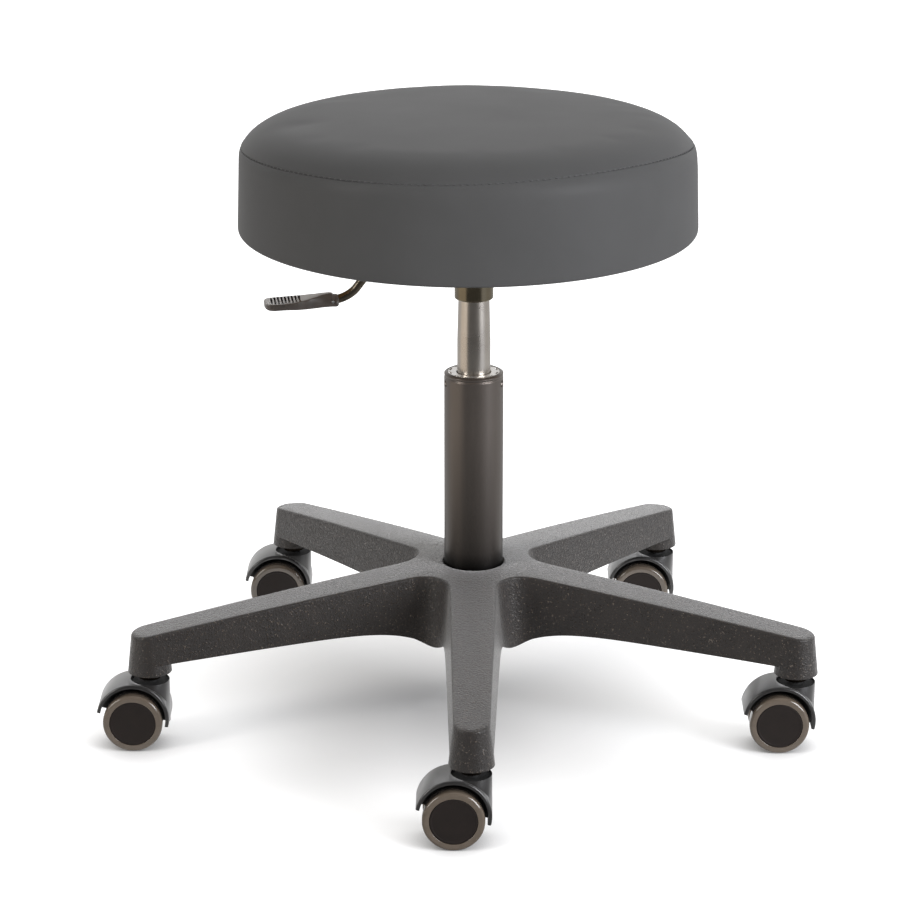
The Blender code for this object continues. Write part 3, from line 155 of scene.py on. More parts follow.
@dataclass(frozen=True)
class Finish:
    """A surface finish: its colour, its gloss and its fine relief, with sizes in millimetres.

    The colour drifts between two tones over mottle_mm. The relief is a bump of relief_mm across and
    relief_depth_mm high. Specks are small spots of another tone, for grit or sparkle, and grit_gloss
    makes such grit shine unevenly. The IOR is that of most plastics, and the metals keep it too.
    """

    name: str
    colour: str
    tone: str
    roughness: float
    roughness_swing: float = 0.05
    metallic: float = 0.0
    mottle_mm: float = 30.0
    relief: Relief = Relief.NOISE
    relief_mm: float = 1.0
    relief_depth_mm: float = 0.05
    relief_strength: float = 0.4
    stretch: Triple = (1.0, 1.0, 1.0)
    speck: str | None = None
    speck_mm: float = 1.0
    speck_share: float = 0.1
    speck_amount: float = 0.5
    coat: float = 0.0
    sheen: float = 0.0
    sheen_spread: float = 0.5
    specular: float = 0.5
    ior: float = 1.5
    grit_gloss: float = 0.0
    # Height stops with each height's share of the colour: painted shade that darkens the colour towards the
    # bottom.
    painted_shade: tuple[Pair, ...] = ()

    def make(self) -> Material:
        """Build the material.

        Returns:
            The node-based material.
        """
        material = bpy.data.materials.new(self.name)
        material.use_nodes = True
        tree = material.node_tree
        shader = tree.nodes["Principled BSDF"]
        place = add_node(tree, "TexCoord").outputs["Object"]
        spread = add_node(tree, "Mapping", {"Vector": place, "Scale": self.stretch}).outputs[0]
        drift = add_node(tree, "TexNoise", {
            "Vector": spread, "Scale": 1 / (self.mottle_mm * MM), "Detail": 3.0, "Roughness": 0.55,
        }).outputs[0]
        share = add_node(tree, "MapRange", (drift, *TONE_RANGE)).outputs[0]
        colour = add_node(tree, "Mix", {
            0: share, 6: linear_colour(self.colour), 7: linear_colour(self.tone),
        }, data_type="RGBA").outputs[2]
        if self.speck is not None:
            colour = self.add_specks(tree, place, colour)
        if self.painted_shade:
            colour = self.add_painted_shade(tree, place, colour)
        height = self.add_relief(tree, place, spread)
        dull, bright = self.roughness + self.roughness_swing, self.roughness - self.roughness_swing
        gloss = add_node(tree, "MapRange", (drift, *GLOSS_RANGE, bright, dull)).outputs[0]
        if self.grit_gloss:
            scale = 1 / (self.speck_mm * MM)
            grit = add_node(tree, "TexNoise", {"Vector": place, "Scale": scale, "Detail": 2.0}).outputs[0]
            swing = add_node(tree, "MapRange", (grit, *GRIT_RANGE, self.grit_gloss, -self.grit_gloss))
            gloss = add_node(tree, "Math", (gloss, swing.outputs[0]), operation="ADD").outputs[0]
        bump = add_node(tree, "Bump", {
            "Height": height, "Strength": self.relief_strength, "Distance": self.relief_depth_mm * MM,
        }).outputs[0]
        tree.links.new(colour, shader.inputs["Base Color"])
        tree.links.new(gloss, shader.inputs["Roughness"])
        tree.links.new(bump, shader.inputs["Normal"])
        constants = {
            "Metallic": self.metallic, "IOR": self.ior, "Specular IOR Level": self.specular,
            "Coat Weight": self.coat, "Coat Roughness": COAT_ROUGHNESS,
            "Sheen Weight": self.sheen, "Sheen Roughness": self.sheen_spread,
        }
        for name, value in constants.items():
            shader.inputs[name].default_value = value
        return material

    def add_relief(self, tree: NodeTree, place: NodeSocket, spread: NodeSocket) -> NodeSocket:
        """Add the fine relief's height.

        Args:
            tree: The material's nodes.
            place: Plain object coordinates.
            spread: Object coordinates stretched for a directional finish.

        Returns:
            The socket with the height.
        """
        scale = 1 / (self.relief_mm * MM)
        if self.relief is Relief.CELLS:
            cells = add_node(tree, "TexVoronoi", {"Vector": place, "Scale": scale, "Randomness": 0.9})
            fine = add_node(tree, "TexNoise", {"Vector": place, "Scale": 2.2 * scale, "Detail": 2.0})
            return add_node(tree, "Math", (cells.outputs[0], fine.outputs[0]), operation="ADD").outputs[0]
        if self.relief is Relief.RINGS:
            rings = add_node(tree, "Mapping", {"Vector": place, "Scale": (0.02, 0.02, 1.0)}).outputs[0]
            return add_node(tree, "TexNoise", {
                "Vector": rings, "Scale": scale, "Detail": 4.0, "Roughness": 0.7,
            }).outputs[0]
        return add_node(tree, "TexNoise", {
            "Vector": spread, "Scale": scale, "Detail": 3.0, "Roughness": 0.6,
        }).outputs[0]

    def add_painted_shade(self, tree: NodeTree, place: NodeSocket, colour: NodeSocket) -> NodeSocket:
        """Paint shade into a colour by height, with each height's share of the full colour given in its list
        of stops.

        Args:
            tree: The material's nodes.
            place: Plain object coordinates.
            colour: The full colour.

        Returns:
            The socket with the colour darkened by the painted shade.
        """
        low, high = self.painted_shade[0][0], self.painted_shade[-1][0]
        height = add_node(tree, "SeparateXYZ", (place,)).outputs[2]
        share = add_node(tree, "MapRange", (height, low, high)).outputs[0]
        ramp = add_node(tree, "ValToRGB", (share,))
        stops = ramp.color_ramp.elements
        stops[0].color = (*3 * (self.painted_shade[0][1],), 1.0)
        stops[1].color = (*3 * (self.painted_shade[-1][1],), 1.0)
        for level, part in self.painted_shade[1:-1]:
            stops.new((level - low) / (high - low)).color = (*3 * (part,), 1.0)
        return add_node(tree, "Mix", {0: 1.0, 6: colour, 7: ramp.outputs[0]}, data_type="RGBA",
                        blend_type="MULTIPLY").outputs[2]

    def add_specks(self, tree: NodeTree, place: NodeSocket, colour: NodeSocket) -> NodeSocket:
        """Lay small spots of the speck colour over a colour.

        Args:
            tree: The material's nodes.
            place: Plain object coordinates.
            colour: The colour under the specks.

        Returns:
            The socket with the speckled colour.
        """
        grit = add_node(tree, "TexNoise", {
            "Vector": place, "Scale": 1 / (self.speck_mm * MM), "Detail": 2.0, "Roughness": 0.6,
        }).outputs[0]
        edge = 0.72 - 0.35 * self.speck_share
        spots = add_node(tree, "MapRange", (grit, edge, edge + SPECK_EDGE, 0.0, self.speck_amount)).outputs[0]
        return add_node(tree, "Mix", {0: spots, 6: colour, 7: linear_colour(self.speck)},
                        data_type="RGBA").outputs[2]


class Surface(Enum):
    """The stool's finishes, each from what the real piece is made of and how it was made."""

    # Calendered PVC upholstery cloth: an even soft sheen over a fine embossed grain. The real grain is about
    # half a millimetre and is drawn at one so that it shows.
    VINYL = Finish("calendered_vinyl", "#4f4f4f", "#525252", 0.42, 0.03, relief=Relief.CELLS, relief_mm=1.0,
                   relief_depth_mm=0.03, relief_strength=0.16, mottle_mm=60.0, specular=0.06)
    # Bonded polyester sewing thread: darker than the cloth and slightly fuzzy.
    THREAD = Finish("polyester_thread", "#3b3b3c", "#454546", 0.7, relief_mm=0.5, relief_depth_mm=0.05,
                    sheen=0.2, mottle_mm=4.0)
    # Glass-filled nylon from a spark-eroded mould: dark, warm, and covered in fine bright grit.
    # The grit is about 0.3 mm and is drawn at 1.7 so that it shows.
    NYLON = Finish("spark_textured_nylon", "#17110d", "#1f1813", 0.44, 0.05, grit_gloss=0.26, relief_mm=1.7,
                   relief_depth_mm=0.7, relief_strength=0.8, speck="#8f8479", speck_mm=1.7, speck_share=0.33,
                   speck_amount=0.38, mottle_mm=18.0, sheen=0.5, specular=0.44)
    # Injection-moulded polypropylene caster body: satin black with a slight orange peel.
    HOOD = Finish("moulded_polypropylene", "#141211", "#1a1817", 0.32, 0.05, relief_mm=1.6,
                  relief_depth_mm=0.04, relief_strength=0.3, speck="#4a4b50", speck_mm=0.9, speck_share=0.1,
                  speck_amount=0.3, mottle_mm=12.0, sheen=1.0, sheen_spread=0.40, specular=0.9)
    # Soft polyurethane tread: warm grey, smooth and slightly glossy from rolling.
    TREAD = Finish("soft_polyurethane", "#61574c", "#695e53", 0.15, 0.03, coat=0.6, relief_mm=2.0,
                   relief_depth_mm=0.03, relief_strength=0.25, mottle_mm=9.0)
    # Moulded ABS wheel disc with a fine matt etch.
    DISC = Finish("etched_abs", "#1f1916", "#241d1a", 0.66, 0.05, relief_mm=0.8, relief_depth_mm=0.04,
                  relief_strength=0.4, mottle_mm=10.0, specular=0.3)
    # Steel tube in satin enamel: soft long reflections and a trace of the tube's drawing lines. Its colour is
    # painted darker towards the foot, as painted shade and a painted reflection of the dark hub below.
    COLUMN = Finish("satin_enamelled_tube", "#5f5954", "#67605b", 0.36, 0.04, metallic=0.7, relief_mm=1.2,
                    relief_depth_mm=0.02, relief_strength=0.25, stretch=(1.0, 1.0, 0.06), mottle_mm=16.0,
                    painted_shade=((0.134, 0.04), (0.140, 0.16), (0.147, 0.38), (0.158, 0.52), (0.190, 0.70),
                          (0.260, 1.0)))
    # Centreless-ground steel: bright, with fine rings left by the wheel.
    GROUND_STEEL = Finish("ground_steel", "#b3aca4", "#bdb7af", 0.29, 0.04, metallic=1.0, relief=Relief.RINGS,
                          relief_mm=0.7, relief_depth_mm=0.012, relief_strength=0.35, mottle_mm=25.0)
    # Electro-coated steel: nearly black with a bronze cast and a smooth gloss.
    BLACK_COAT = Finish("electrocoated_steel", "#6f6757", "#786f5e", 0.22, 0.04, metallic=1.0, relief_mm=1.5,
                        relief_depth_mm=0.02, relief_strength=0.25, mottle_mm=14.0)
    # Phosphated steel: a dull, nearly black crystal coat.
    PHOSPHATE = Finish("phosphated_steel", "#1d1915", "#26211c", 0.5, 0.05, metallic=1.0, relief_mm=0.6,
                       relief_depth_mm=0.03, relief_strength=0.3, mottle_mm=4.0)
    # Cold-bent wire rod under a glossy bronze lacquer.
    ROD = Finish("bronze_lacquered_rod", "#716a5e", "#7b7366", 0.24, 0.04, metallic=1.0, relief_mm=1.5,
                 relief_depth_mm=0.015, relief_strength=0.25, mottle_mm=10.0)
    # Moulded ABS paddle with a fine leather-like etch.
    PADDLE = Finish("etched_paddle_abs", "#342c26", "#3d342d", 0.38, 0.05, sheen=1.0, relief_mm=0.8,
                    relief_depth_mm=0.05, relief_strength=0.4, mottle_mm=8.0)
    # Moulded acetal under a bright metallised film: pale and nearly a mirror.
    ACETAL = Finish("metallised_acetal", "#cdcac6", "#d3d1cd", 0.22, 0.03, metallic=0.75, relief_mm=2.0,
                    relief_depth_mm=0.03, relief_strength=0.2, mottle_mm=6.0)
    # Zinc-plated steel: cool, bright and a little cloudy.
    ZINC = Finish("zinc_plated_steel", "#a9abad", "#b8babb", 0.33, 0.07, metallic=1.0, relief_mm=0.6,
                  relief_depth_mm=0.02, relief_strength=0.3, mottle_mm=3.0)
    # Rotary-cut birch plywood: pale, with long soft grain.
    PLYWOOD = Finish("birch_plywood", "#c7a273", "#a97f50", 0.62, 0.06, relief_mm=1.2, relief_depth_mm=0.08,
                     relief_strength=0.4, stretch=(0.12, 1.0, 1.0), mottle_mm=9.0)
    # Moulded natural rubber: dull black with a bloom.
    RUBBER = Finish("moulded_rubber", "#1a1a1a", "#232323", 0.75, 0.05, relief_mm=0.8, relief_depth_mm=0.05,
                    mottle_mm=5.0)


def coat(obj: Object, material: Material) -> None:
    """Give an object one material.

    Args:
        obj: The object to dress.
        material: Its material.
    """
    obj.data.materials.clear()
    obj.data.materials.append(material)
    for face in obj.data.polygons:
        face.material_index = 0


# Modelling helpers

def focus(obj: Object) -> None:
    """Make an object the only selected and active one.

    Args:
        obj: The object to work on.
    """
    bpy.ops.object.select_all(action="DESELECT")
    obj.select_set(True)
    bpy.context.view_layer.objects.active = obj


def settle(obj: Object) -> Object:
    """Move an object's place into its mesh, so that it sits unturned at the origin.

    Args:
        obj: The object to settle.

    Returns:
        The same object.
    """
    focus(obj)
    bpy.ops.object.transform_apply(location=True, rotation=True, scale=True)
    return obj


def add_cylinder(name: str, radius: float, length: float, centre: Vector,
                 turn: Triple = (0, 0, 0), sides: int = 64) -> Object:
    """Add a round blank at its size and place.

    Args:
        name: The object's name.
        radius: Its radius.
        length: Its length along its own Z.
        centre: Its middle.
        turn: Its Euler turn.
        sides: How many flats it has.

    Returns:
        The blank, settled at the origin.
    """
    bpy.ops.object.select_all(action="DESELECT")
    bpy.ops.mesh.primitive_cylinder_add(vertices=sides, radius=radius, depth=length, location=centre,
                                        rotation=turn)
    obj = bpy.context.object
    obj.name = name
    return settle(obj)


def add_block(name: str, size: Triple, centre: Vector, turn: Triple = (0, 0, 0)) -> Object:
    """Add a square blank at its size and place.

    Args:
        name: The object's name.
        size: Its three sides.
        centre: Its middle.
        turn: Its Euler turn.

    Returns:
        The blank, settled at the origin.
    """
    bpy.ops.object.select_all(action="DESELECT")
    bpy.ops.mesh.primitive_cube_add(size=1.0, location=centre, rotation=turn)
    obj = bpy.context.object
    obj.name = name
    obj.scale = size
    return settle(obj)


def apply_modifier(obj: Object, kind: str, **settings: object) -> None:
    """Add a modifier and apply it at once.

    Args:
        obj: The object to change.
        kind: Blender's name for the modifier type.
        settings: The modifier's settings.
    """
    focus(obj)
    modifier = obj.modifiers.new("step", kind)
    for name, value in settings.items():
        setattr(modifier, name, value)
    bpy.ops.object.modifier_apply(modifier=modifier.name)


def carve(obj: Object, tool: Object, operation: str = "DIFFERENCE") -> None:
    """Cut an object with a tool, or join the two, and remove the tool."""
    apply_modifier(obj, "BOOLEAN", object=tool, operation=operation, solver="EXACT")
    bpy.data.objects.remove(tool, do_unlink=True)


def soften(obj: Object, width: float, segments: int = 2, angle: float = 40.0) -> None:
    """Round the edges of an object that are sharper than an angle in degrees."""
    apply_modifier(obj, "BEVEL", width=width, segments=segments, limit_method="ANGLE",
                   angle_limit=math.radians(angle), use_clamp_overlap=True)


def shade(obj: Object, angle: float = 40.0) -> Object:
    """Shade an object smooth, with hard edges past an angle.

    Args:
        obj: The object to shade.
        angle: The angle in degrees.

    Returns:
        The same object.
    """
    focus(obj)
    bpy.ops.object.shade_smooth_by_angle(angle=math.radians(angle))
    return obj


def weld() -> None:
    """Merge the doubled points of the mesh in edit mode, turn its faces out and leave edit mode."""
    bpy.ops.mesh.select_all(action="SELECT")
    bpy.ops.mesh.remove_doubles(threshold=WELD)
    bpy.ops.mesh.normals_make_consistent(inside=False)
    bpy.ops.object.mode_set(mode="OBJECT")


def rounded(corners: Iterable[Triple], steps: int = 5) -> Profile:
    """Draw a profile through corners, each rounded by its own radius.

    Args:
        corners: Radius, height and rounding of each corner.
        steps: Steps round each corner.

    Returns:
        The profile's points.
    """
    corners = list(corners)
    points: Profile = []
    for index, (radius, height, soft) in enumerate(corners):
        if soft <= 0 or index in (0, len(corners) - 1):
            points.append((radius, height))
            continue
        corner = Vector((radius, height))
        before = Vector(corners[index - 1][:2]) - corner
        after = Vector(corners[index + 1][:2]) - corner
        half_angle = before.angle(after) / 2
        reach = min(soft / math.tan(half_angle), 0.49 * before.length, 0.49 * after.length)
        start = corner + reach * before.normalized()
        end = corner + reach * after.normalized()
        pull = math.sin(half_angle)
        for step in range(steps + 1):
            share = step / steps
            weights = ((1 - share) ** 2, 2 * pull * share * (1 - share), share ** 2)
            spot = (weights[0] * start + weights[1] * corner + weights[2] * end) / sum(weights)
            points.append((spot.x, spot.y))
    return points


def lathe(name: str, profile: Profile, steps: int, ring: bool = False) -> Object:
    """Spin a profile of radius and height points about Z.

    Args:
        name: The object's name.
        profile: The points, in order.
        steps: Steps in a full turn.
        ring: Whether the profile closes on itself, as for a tube.

    Returns:
        The spun piece, closed and facing out.
    """
    bpy.ops.object.select_all(action="DESELECT")
    bpy.ops.mesh.primitive_circle_add(vertices=len(profile), radius=1.0, fill_type="NOTHING")
    obj = bpy.context.object
    obj.name = name
    for vertex, (radius, height) in zip(obj.data.vertices, profile):
        vertex.co = (radius, 0.0, height)
    bpy.ops.object.mode_set(mode="EDIT")
    if not ring:
        bm = bmesh.from_edit_mesh(obj.data)
        bm.verts.ensure_lookup_table()
        closing = [edge for edge in bm.edges if {vert.index for vert in edge.verts} == {0, len(profile) - 1}]
        bmesh.ops.delete(bm, geom=closing, context="EDGES")
        bmesh.update_edit_mesh(obj.data)
    bpy.ops.mesh.select_all(action="SELECT")
    bpy.ops.mesh.spin(steps=steps, angle=FULL_TURN, center=(0, 0, 0), axis=(0, 0, 1))
    weld()
    return obj


def from_bmesh(bm: BMesh, name: str) -> Object:
    """Turn a drawn mesh into an object that faces out.

    Args:
        bm: The mesh, which is freed.
        name: The object's name.

    Returns:
        The new object.
    """
    bmesh.ops.recalc_face_normals(bm, faces=bm.faces)
    mesh = bpy.data.meshes.new(name)
    bm.to_mesh(mesh)
    bm.free()
    obj = bpy.data.objects.new(name, mesh)
    bpy.context.collection.objects.link(obj)
    return obj


def wrap(bm: BMesh, rings: list[list[BMVert]]) -> None:
    """Fill between neighbouring closed rings of points.

    Args:
        bm: The mesh that holds them.
        rings: The rings in order, each with the same count of points.
    """
    for first, second in zip(rings, rings[1:]):
        for index in range(len(first)):
            after = (index + 1) % len(first)
            bm.faces.new((first[index], first[after], second[after], second[index]))


def aim(angle: float) -> Vector:
    """The flat unit vector at an angle from +X."""
    return Vector((math.cos(angle), math.sin(angle)))


def smooth_step(value: float, low: float, high: float) -> float:
    """Ease from 0 at low to 1 at high."""
    share = min(1.0, max(0.0, (value - low) / (high - low)))
    return share * share * (3 - 2 * share)


def reshape(obj: Object, move: Callable[[Vector], Vector]) -> None:
    """Move every point of a mesh by a rule.

    Args:
        obj: The object to change.
        move: Takes a point and gives its new place.
    """
    for vertex in obj.data.vertices:
        vertex.co = move(vertex.co.copy())
    obj.data.update()


def copy_piece(obj: Object, name: str, matrix: Matrix) -> Object:
    """Copy a modelled piece, with a mesh of its own, to another place.

    Args:
        obj: The piece to copy.
        name: The copy's name.
        matrix: The move that its mesh takes.

    Returns:
        The copy.
    """
    made = obj.copy()
    made.data = obj.data.copy()
    made.name = name
    made.data.name = name
    made.data.transform(matrix)
    bpy.context.collection.objects.link(made)
    return made


def join(pieces: list[Object], name: str) -> Object:
    """Join objects into one.

    Args:
        pieces: The objects; the first one stays.
        name: The joined object's name.

    Returns:
        The joined object.
    """
    focus(pieces[0])
    for piece in pieces[1:]:
        piece.select_set(True)
    bpy.ops.object.join()
    pieces[0].name = name
    return pieces[0]


def seat_on(piece: Object, body: str, slot: str, *nodes: str) -> None:
    """Tie a finished piece to its body and hide the solids that it stands for.

    Args:
        piece: The finished piece.
        body: The body that it moves with.
        slot: The record's material slot; not used.
        nodes: The solids that it replaces.
    """
    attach(piece, body)
    if nodes:
        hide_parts(*nodes)
    LOG.info("%s rides on %s", piece.name, body)


def dress(piece: Object, material: Material, body: str, slot: str, *nodes: str, angle: float = 40.0) -> None:
    """Shade and coat a finished piece, and tie it to its body.

    Args:
        piece: The finished piece.
        material: Its finish.
        body: The body that it moves with.
        slot: The record's material slot.
        nodes: The solids that it replaces.
        angle: The sharpest bend in degrees that is shaded smooth.
    """
    shade(piece, angle)
    coat(piece, material)
    seat_on(piece, body, slot, *nodes)


# Base

@dataclass
class StarBase:
    """The moulded five-leg base."""

    legs: int = 5
    stem_circle: float = 0.285
    tip_radius: float = 0.015
    root_half_width: float = 0.020
    root_radius: float = 0.060
    fillet: float = 0.025
    hub_top: float = HUB_TOP
    hub_bottom: float = 0.0605
    hub_flat: float = 0.040
    boss_bottom: float = 0.0659
    leg_fall: float = 0.0335
    leg_crown: float = 0.001
    tip_depth: float = 0.0265
    deepening: float = 0.0165
    root_flare: float = 0.0123
    flare_power: int = 9
    flare_end: float = 1.04
    edge: float = 0.0025
    draft: float = math.radians(6.0)
    wall: float = 0.0035
    ceiling: float = 0.0045
    pockets: int = 4
    mouth: float = 0.0265
    mouth_soft: float = 0.001
    socket_high: float = 0.0253
    socket_low: float = 0.0244
    socket_foot: float = 0.0250
    socket: float = 0.031
    stem_bore: float = 0.006
    stem_bore_depth: float = 0.029
    overcut: float = 0.004
    stations: int = 34
    across: int = 8
    tip_steps: int = 14
    fillet_steps: int = 20
    edge_steps: int = 6
    bm: BMesh = field(default_factory=bmesh.new)

    def __post_init__(self) -> None:
        """Work out the plan of one leg, along +X."""
        run = self.stem_circle - self.root_radius
        reach = math.hypot(self.root_half_width, run)
        self.taper = math.acos(self.tip_radius / reach) - math.atan2(run, self.root_half_width)
        self.normal = Vector((math.sin(self.taper), math.cos(self.taper)))
        self.half_turn = math.pi / self.legs
        root = Vector((self.root_radius, self.root_half_width))
        distance = (self.fillet + root.dot(self.normal)) / math.sin(self.half_turn + self.taper)
        self.fillet_centre = distance * aim(self.half_turn)
        self.start = self.fillet_centre - self.fillet * self.normal
        self.tip = Vector((self.stem_circle, 0.0))

    def azimuths(self) -> list[float]:
        """Directions of the legs, the front one first."""
        return [math.radians(-90.0) + FULL_TURN * index / self.legs for index in range(self.legs)]

    def stem_points(self) -> list[Vector]:
        """Places of the caster stems, in the legs' order."""
        return [self.stem_circle * aim(azimuth).to_3d() for azimuth in self.azimuths()]

    def leg_top(self, radius: float) -> float:
        """Height of the top at a distance from the column."""
        along = max(0.0, (radius - self.hub_flat) / (self.stem_circle + self.tip_radius - self.hub_flat))
        return self.hub_top - self.leg_fall * along + 4 * self.leg_crown * along * max(0.0, 1 - along)

    def leg_bottom(self, radius: float) -> float:
        """Height of the underside, which flares at the root, at a distance from the column."""
        rest = max(0.0, (self.stem_circle - radius) / (self.stem_circle - self.root_radius))
        rest = min(self.flare_end, rest)
        depth = self.tip_depth + self.deepening * rest + self.root_flare * rest ** self.flare_power
        return self.leg_top(radius) - depth

    def half_width(self, along: float) -> float:
        """Half the leg's width at a distance along it."""
        return self.start.y - (along - self.start.x) * math.tan(self.taper)

    def column(self, point: Vector, out: Vector, low: float) -> list[BMVert]:
        """Points down the skin at one place on the outline.

        Args:
            point: The place, seen from above.
            out: The outline's outward normal there.
            low: Height of the skin's lower edge.

        Returns:
            The points, from the top face's edge to the foot.
        """
        top = self.leg_top(point.length)
        made = []
        for step in range(self.edge_steps + 1):
            angle = 0.5 * math.pi * step / self.edge_steps
            spot = point + self.edge * (math.sin(angle) - 1) * out
            made.append(self.bm.verts.new((spot.x, spot.y, top - self.edge * (1 - math.cos(angle)))))
        made.append(self.foot(point, out, low))
        return made

    def foot(self, point: Vector, out: Vector, low: float) -> BMVert:
        """A point at the bottom of the drafted side."""
        spot = point + math.tan(self.draft) * (self.leg_top(point.length) - self.edge - low) * out
        return self.bm.verts.new((spot.x, spot.y, low))

    def skin(self, lines: list[list[BMVert]]) -> None:
        """Fill between neighbouring lines of points.

        Args:
            lines: Columns in order along the outline, or rows in order along a leg.
        """
        for first, second in zip(lines, lines[1:]):
            for index in range(len(first) - 1):
                self.bm.faces.new((first[index], second[index], second[index + 1], first[index + 1]))

    def row(self, right: BMVert, left: BMVert, height: Callable[[float], float]) -> list[BMVert]:
        """Points across a leg between its two sides.

        Args:
            right: The point on the right side.
            left: The point on the left side.
            height: Gives the height at a distance from the column.

        Returns:
            The points, with both ends.
        """
        made = [right]
        for step in range(1, self.across):
            spot = right.co.lerp(left.co, step / self.across)
            made.append(self.bm.verts.new((spot.x, spot.y, height(spot.xy.length))))
        return [*made, left]

    def leg(self, azimuth: float) -> dict[str, list]:
        """Skin one leg.

        Args:
            azimuth: The leg's direction.

        Returns:
            Its root rows, its root columns and the columns of the fillet on its left.
        """
        turn = Matrix.Rotation(azimuth, 2)
        last = self.stem_circle - 1.8 * self.tip_radius
        run = last - self.start.x
        places = [self.start.x + run * step / self.stations for step in range(self.stations + 1)]
        places.append((self.tip + self.tip_radius * self.normal).x)
        sides = {}
        for name, sign in (("right", -1), ("left", 1)):
            out = turn @ Vector((self.normal.x, sign * self.normal.y))
            sides[name] = []
            for along in places:
                point = turn @ Vector((along, sign * self.half_width(along)))
                sides[name].append(self.column(point, out, self.leg_bottom(point.length)))
            sides[name + "_foot"] = self.foot(point, out, self.boss_bottom)
        reach = math.pi / 2 - self.taper
        tips = {"right": [], "left": []}
        for step in range(1, self.tip_steps):
            for name, sign in (("right", -1), ("left", 1)):
                angle = sign * reach * (1 - step / self.tip_steps)
                out = turn @ aim(angle)
                tips[name].append(self.column(turn @ self.tip + self.tip_radius * out, out, self.boss_bottom))
        out = turn @ Vector((1.0, 0.0))
        apex = self.column(turn @ self.tip + self.tip_radius * out, out, self.boss_bottom)
        self.skin(sides["right"])
        self.skin(sides["left"])
        self.skin([*tips["right"], apex, *reversed(tips["left"])])
        for name in ("right", "left"):
            self.close_tip(sides[name][-1], sides[name + "_foot"], tips[name][0])
        pairs = list(zip(sides["right"] + tips["right"], sides["left"] + tips["left"]))
        rows = [self.row(right[0], left[0], self.leg_top) for right, left in pairs]
        self.skin(rows)
        for index in range(self.across):
            self.bm.faces.new((rows[-1][index], apex[0], rows[-1][index + 1]))
        under = [self.row(right[-1], left[-1], self.leg_bottom) for right, left in pairs[:len(places) - 1]]
        self.skin(under)
        rim = [*tips["right"], apex, *reversed(tips["left"])]
        self.boss(turn @ self.tip, azimuth, sides, under[-1], [column[-1] for column in rim])
        fillet = []
        first = 1.5 * math.pi - self.taper
        end = 2 * self.half_turn + math.pi / 2 + self.taper
        for step in range(1, self.fillet_steps):
            angle = first + (end - first) * step / self.fillet_steps
            out = aim(angle)
            point = turn @ (self.fillet_centre + self.fillet * out)
            fillet.append(self.column(point, turn @ -out, self.leg_bottom(point.length)))
        return {"top": rows[0], "under": under[0], "right": sides["right"][0], "left": sides["left"][0],
                "fillet": fillet}

    def close_tip(self, side: list, foot: BMVert, first: list) -> None:
        """Fill between a leg's straight side and the first column of its round tip.

        Args:
            side: The last column of the straight side.
            foot: The boss's foot at the same place.
            first: The first column of the tip.
        """
        for level in range(len(side) - 2):
            self.bm.faces.new((side[level], first[level], first[level + 1], side[level + 1]))
        self.bm.faces.new((side[-2], first[-2], first[-1], foot, side[-1]))

    def boss(self, centre: Vector, azimuth: float, sides: dict, under: list, rim: list) -> None:
        """The stem boss that stands below the leg.

        Args:
            centre: The stem's place.
            azimuth: The leg's direction.
            sides: The leg's side columns and boss feet.
            under: The last row of the leg's underside.
            rim: The feet of the tip's columns, from right to left.
        """
        right, left = sides["right"][-1][-1], sides["left"][-1][-1]
        right_foot, left_foot = sides["right_foot"], sides["left_foot"]
        radii = ((right.co.xy - centre).length, (right_foot.co.xy - centre).length)
        first = math.pi / 2 + self.taper
        steps = 2 * self.tip_steps
        high, low = [right], [right_foot]
        for step in range(1, steps):
            angle = azimuth - first - (FULL_TURN - 2 * first) * step / steps
            out = aim(angle)
            spot = centre + radii[0] * out
            high.append(self.bm.verts.new((spot.x, spot.y, self.leg_bottom(spot.length))))
            spot = centre + radii[1] * out
            low.append(self.bm.verts.new((spot.x, spot.y, self.boss_bottom)))
        high.append(left)
        low.append(left_foot)
        for index in range(steps):
            self.bm.faces.new((high[index], high[index + 1], low[index + 1], low[index]))
        self.bm.faces.new([*high, *reversed(under)])
        self.bm.faces.new([*low, *reversed(rim)])

    def hub(self, roots: list[dict[str, list]]) -> None:
        """Fill the hub: its top, the column socket and its underside.

        Args:
            roots: What each leg left open, in order.
        """
        top, under = [], []
        for index, root in enumerate(roots):
            following = roots[(index + 1) % len(roots)]
            self.skin([root["left"], *root["fillet"], following["right"]])
            top += [*root["top"], *[column[0] for column in root["fillet"]]]
            under += [*root["under"], *[column[-1] for column in root["fillet"]]]
        rings = [top]
        for share in (0.3, 0.6, 0.85):
            rings.append(self.hub_ring(top, share, self.mouth + self.mouth_soft, self.leg_top))
        socket = [
            (self.mouth + self.mouth_soft, self.hub_top), (self.mouth + 0.0003, self.hub_top - 0.0003),
            (self.mouth, self.hub_top - self.mouth_soft), (self.mouth, self.hub_top - 0.004),
            (self.socket_high, self.hub_top - 0.012), (self.socket_low, self.hub_bottom + 0.0006),
            (self.socket_foot, self.hub_bottom),
            (self.socket - 0.0006, self.hub_bottom), (self.socket, self.hub_bottom + 0.0006),
            (self.socket, self.leg_bottom(self.start.x)),
        ]
        for radius, height in socket:
            rings.append(self.hub_ring(top, 1.0, radius, lambda _, height=height: height))
        rings.append(under)
        wrap(self.bm, rings)

    def hub_ring(self, outer: list, share: float, radius: float, height: Callable[[float], float]) -> list:
        """A ring of points between the hub's outline and a circle.

        Args:
            outer: The points of the hub's outline.
            share: How far in from the outline, up to one at the circle.
            radius: The circle's radius.
            height: Gives the height at a distance from the column.

        Returns:
            The ring's points.
        """
        made = []
        for vert in outer:
            flat = vert.co.xy
            spot = flat.lerp(radius * flat.normalized(), share)
            made.append(self.bm.verts.new((spot.x, spot.y, height(spot.length))))
        return made

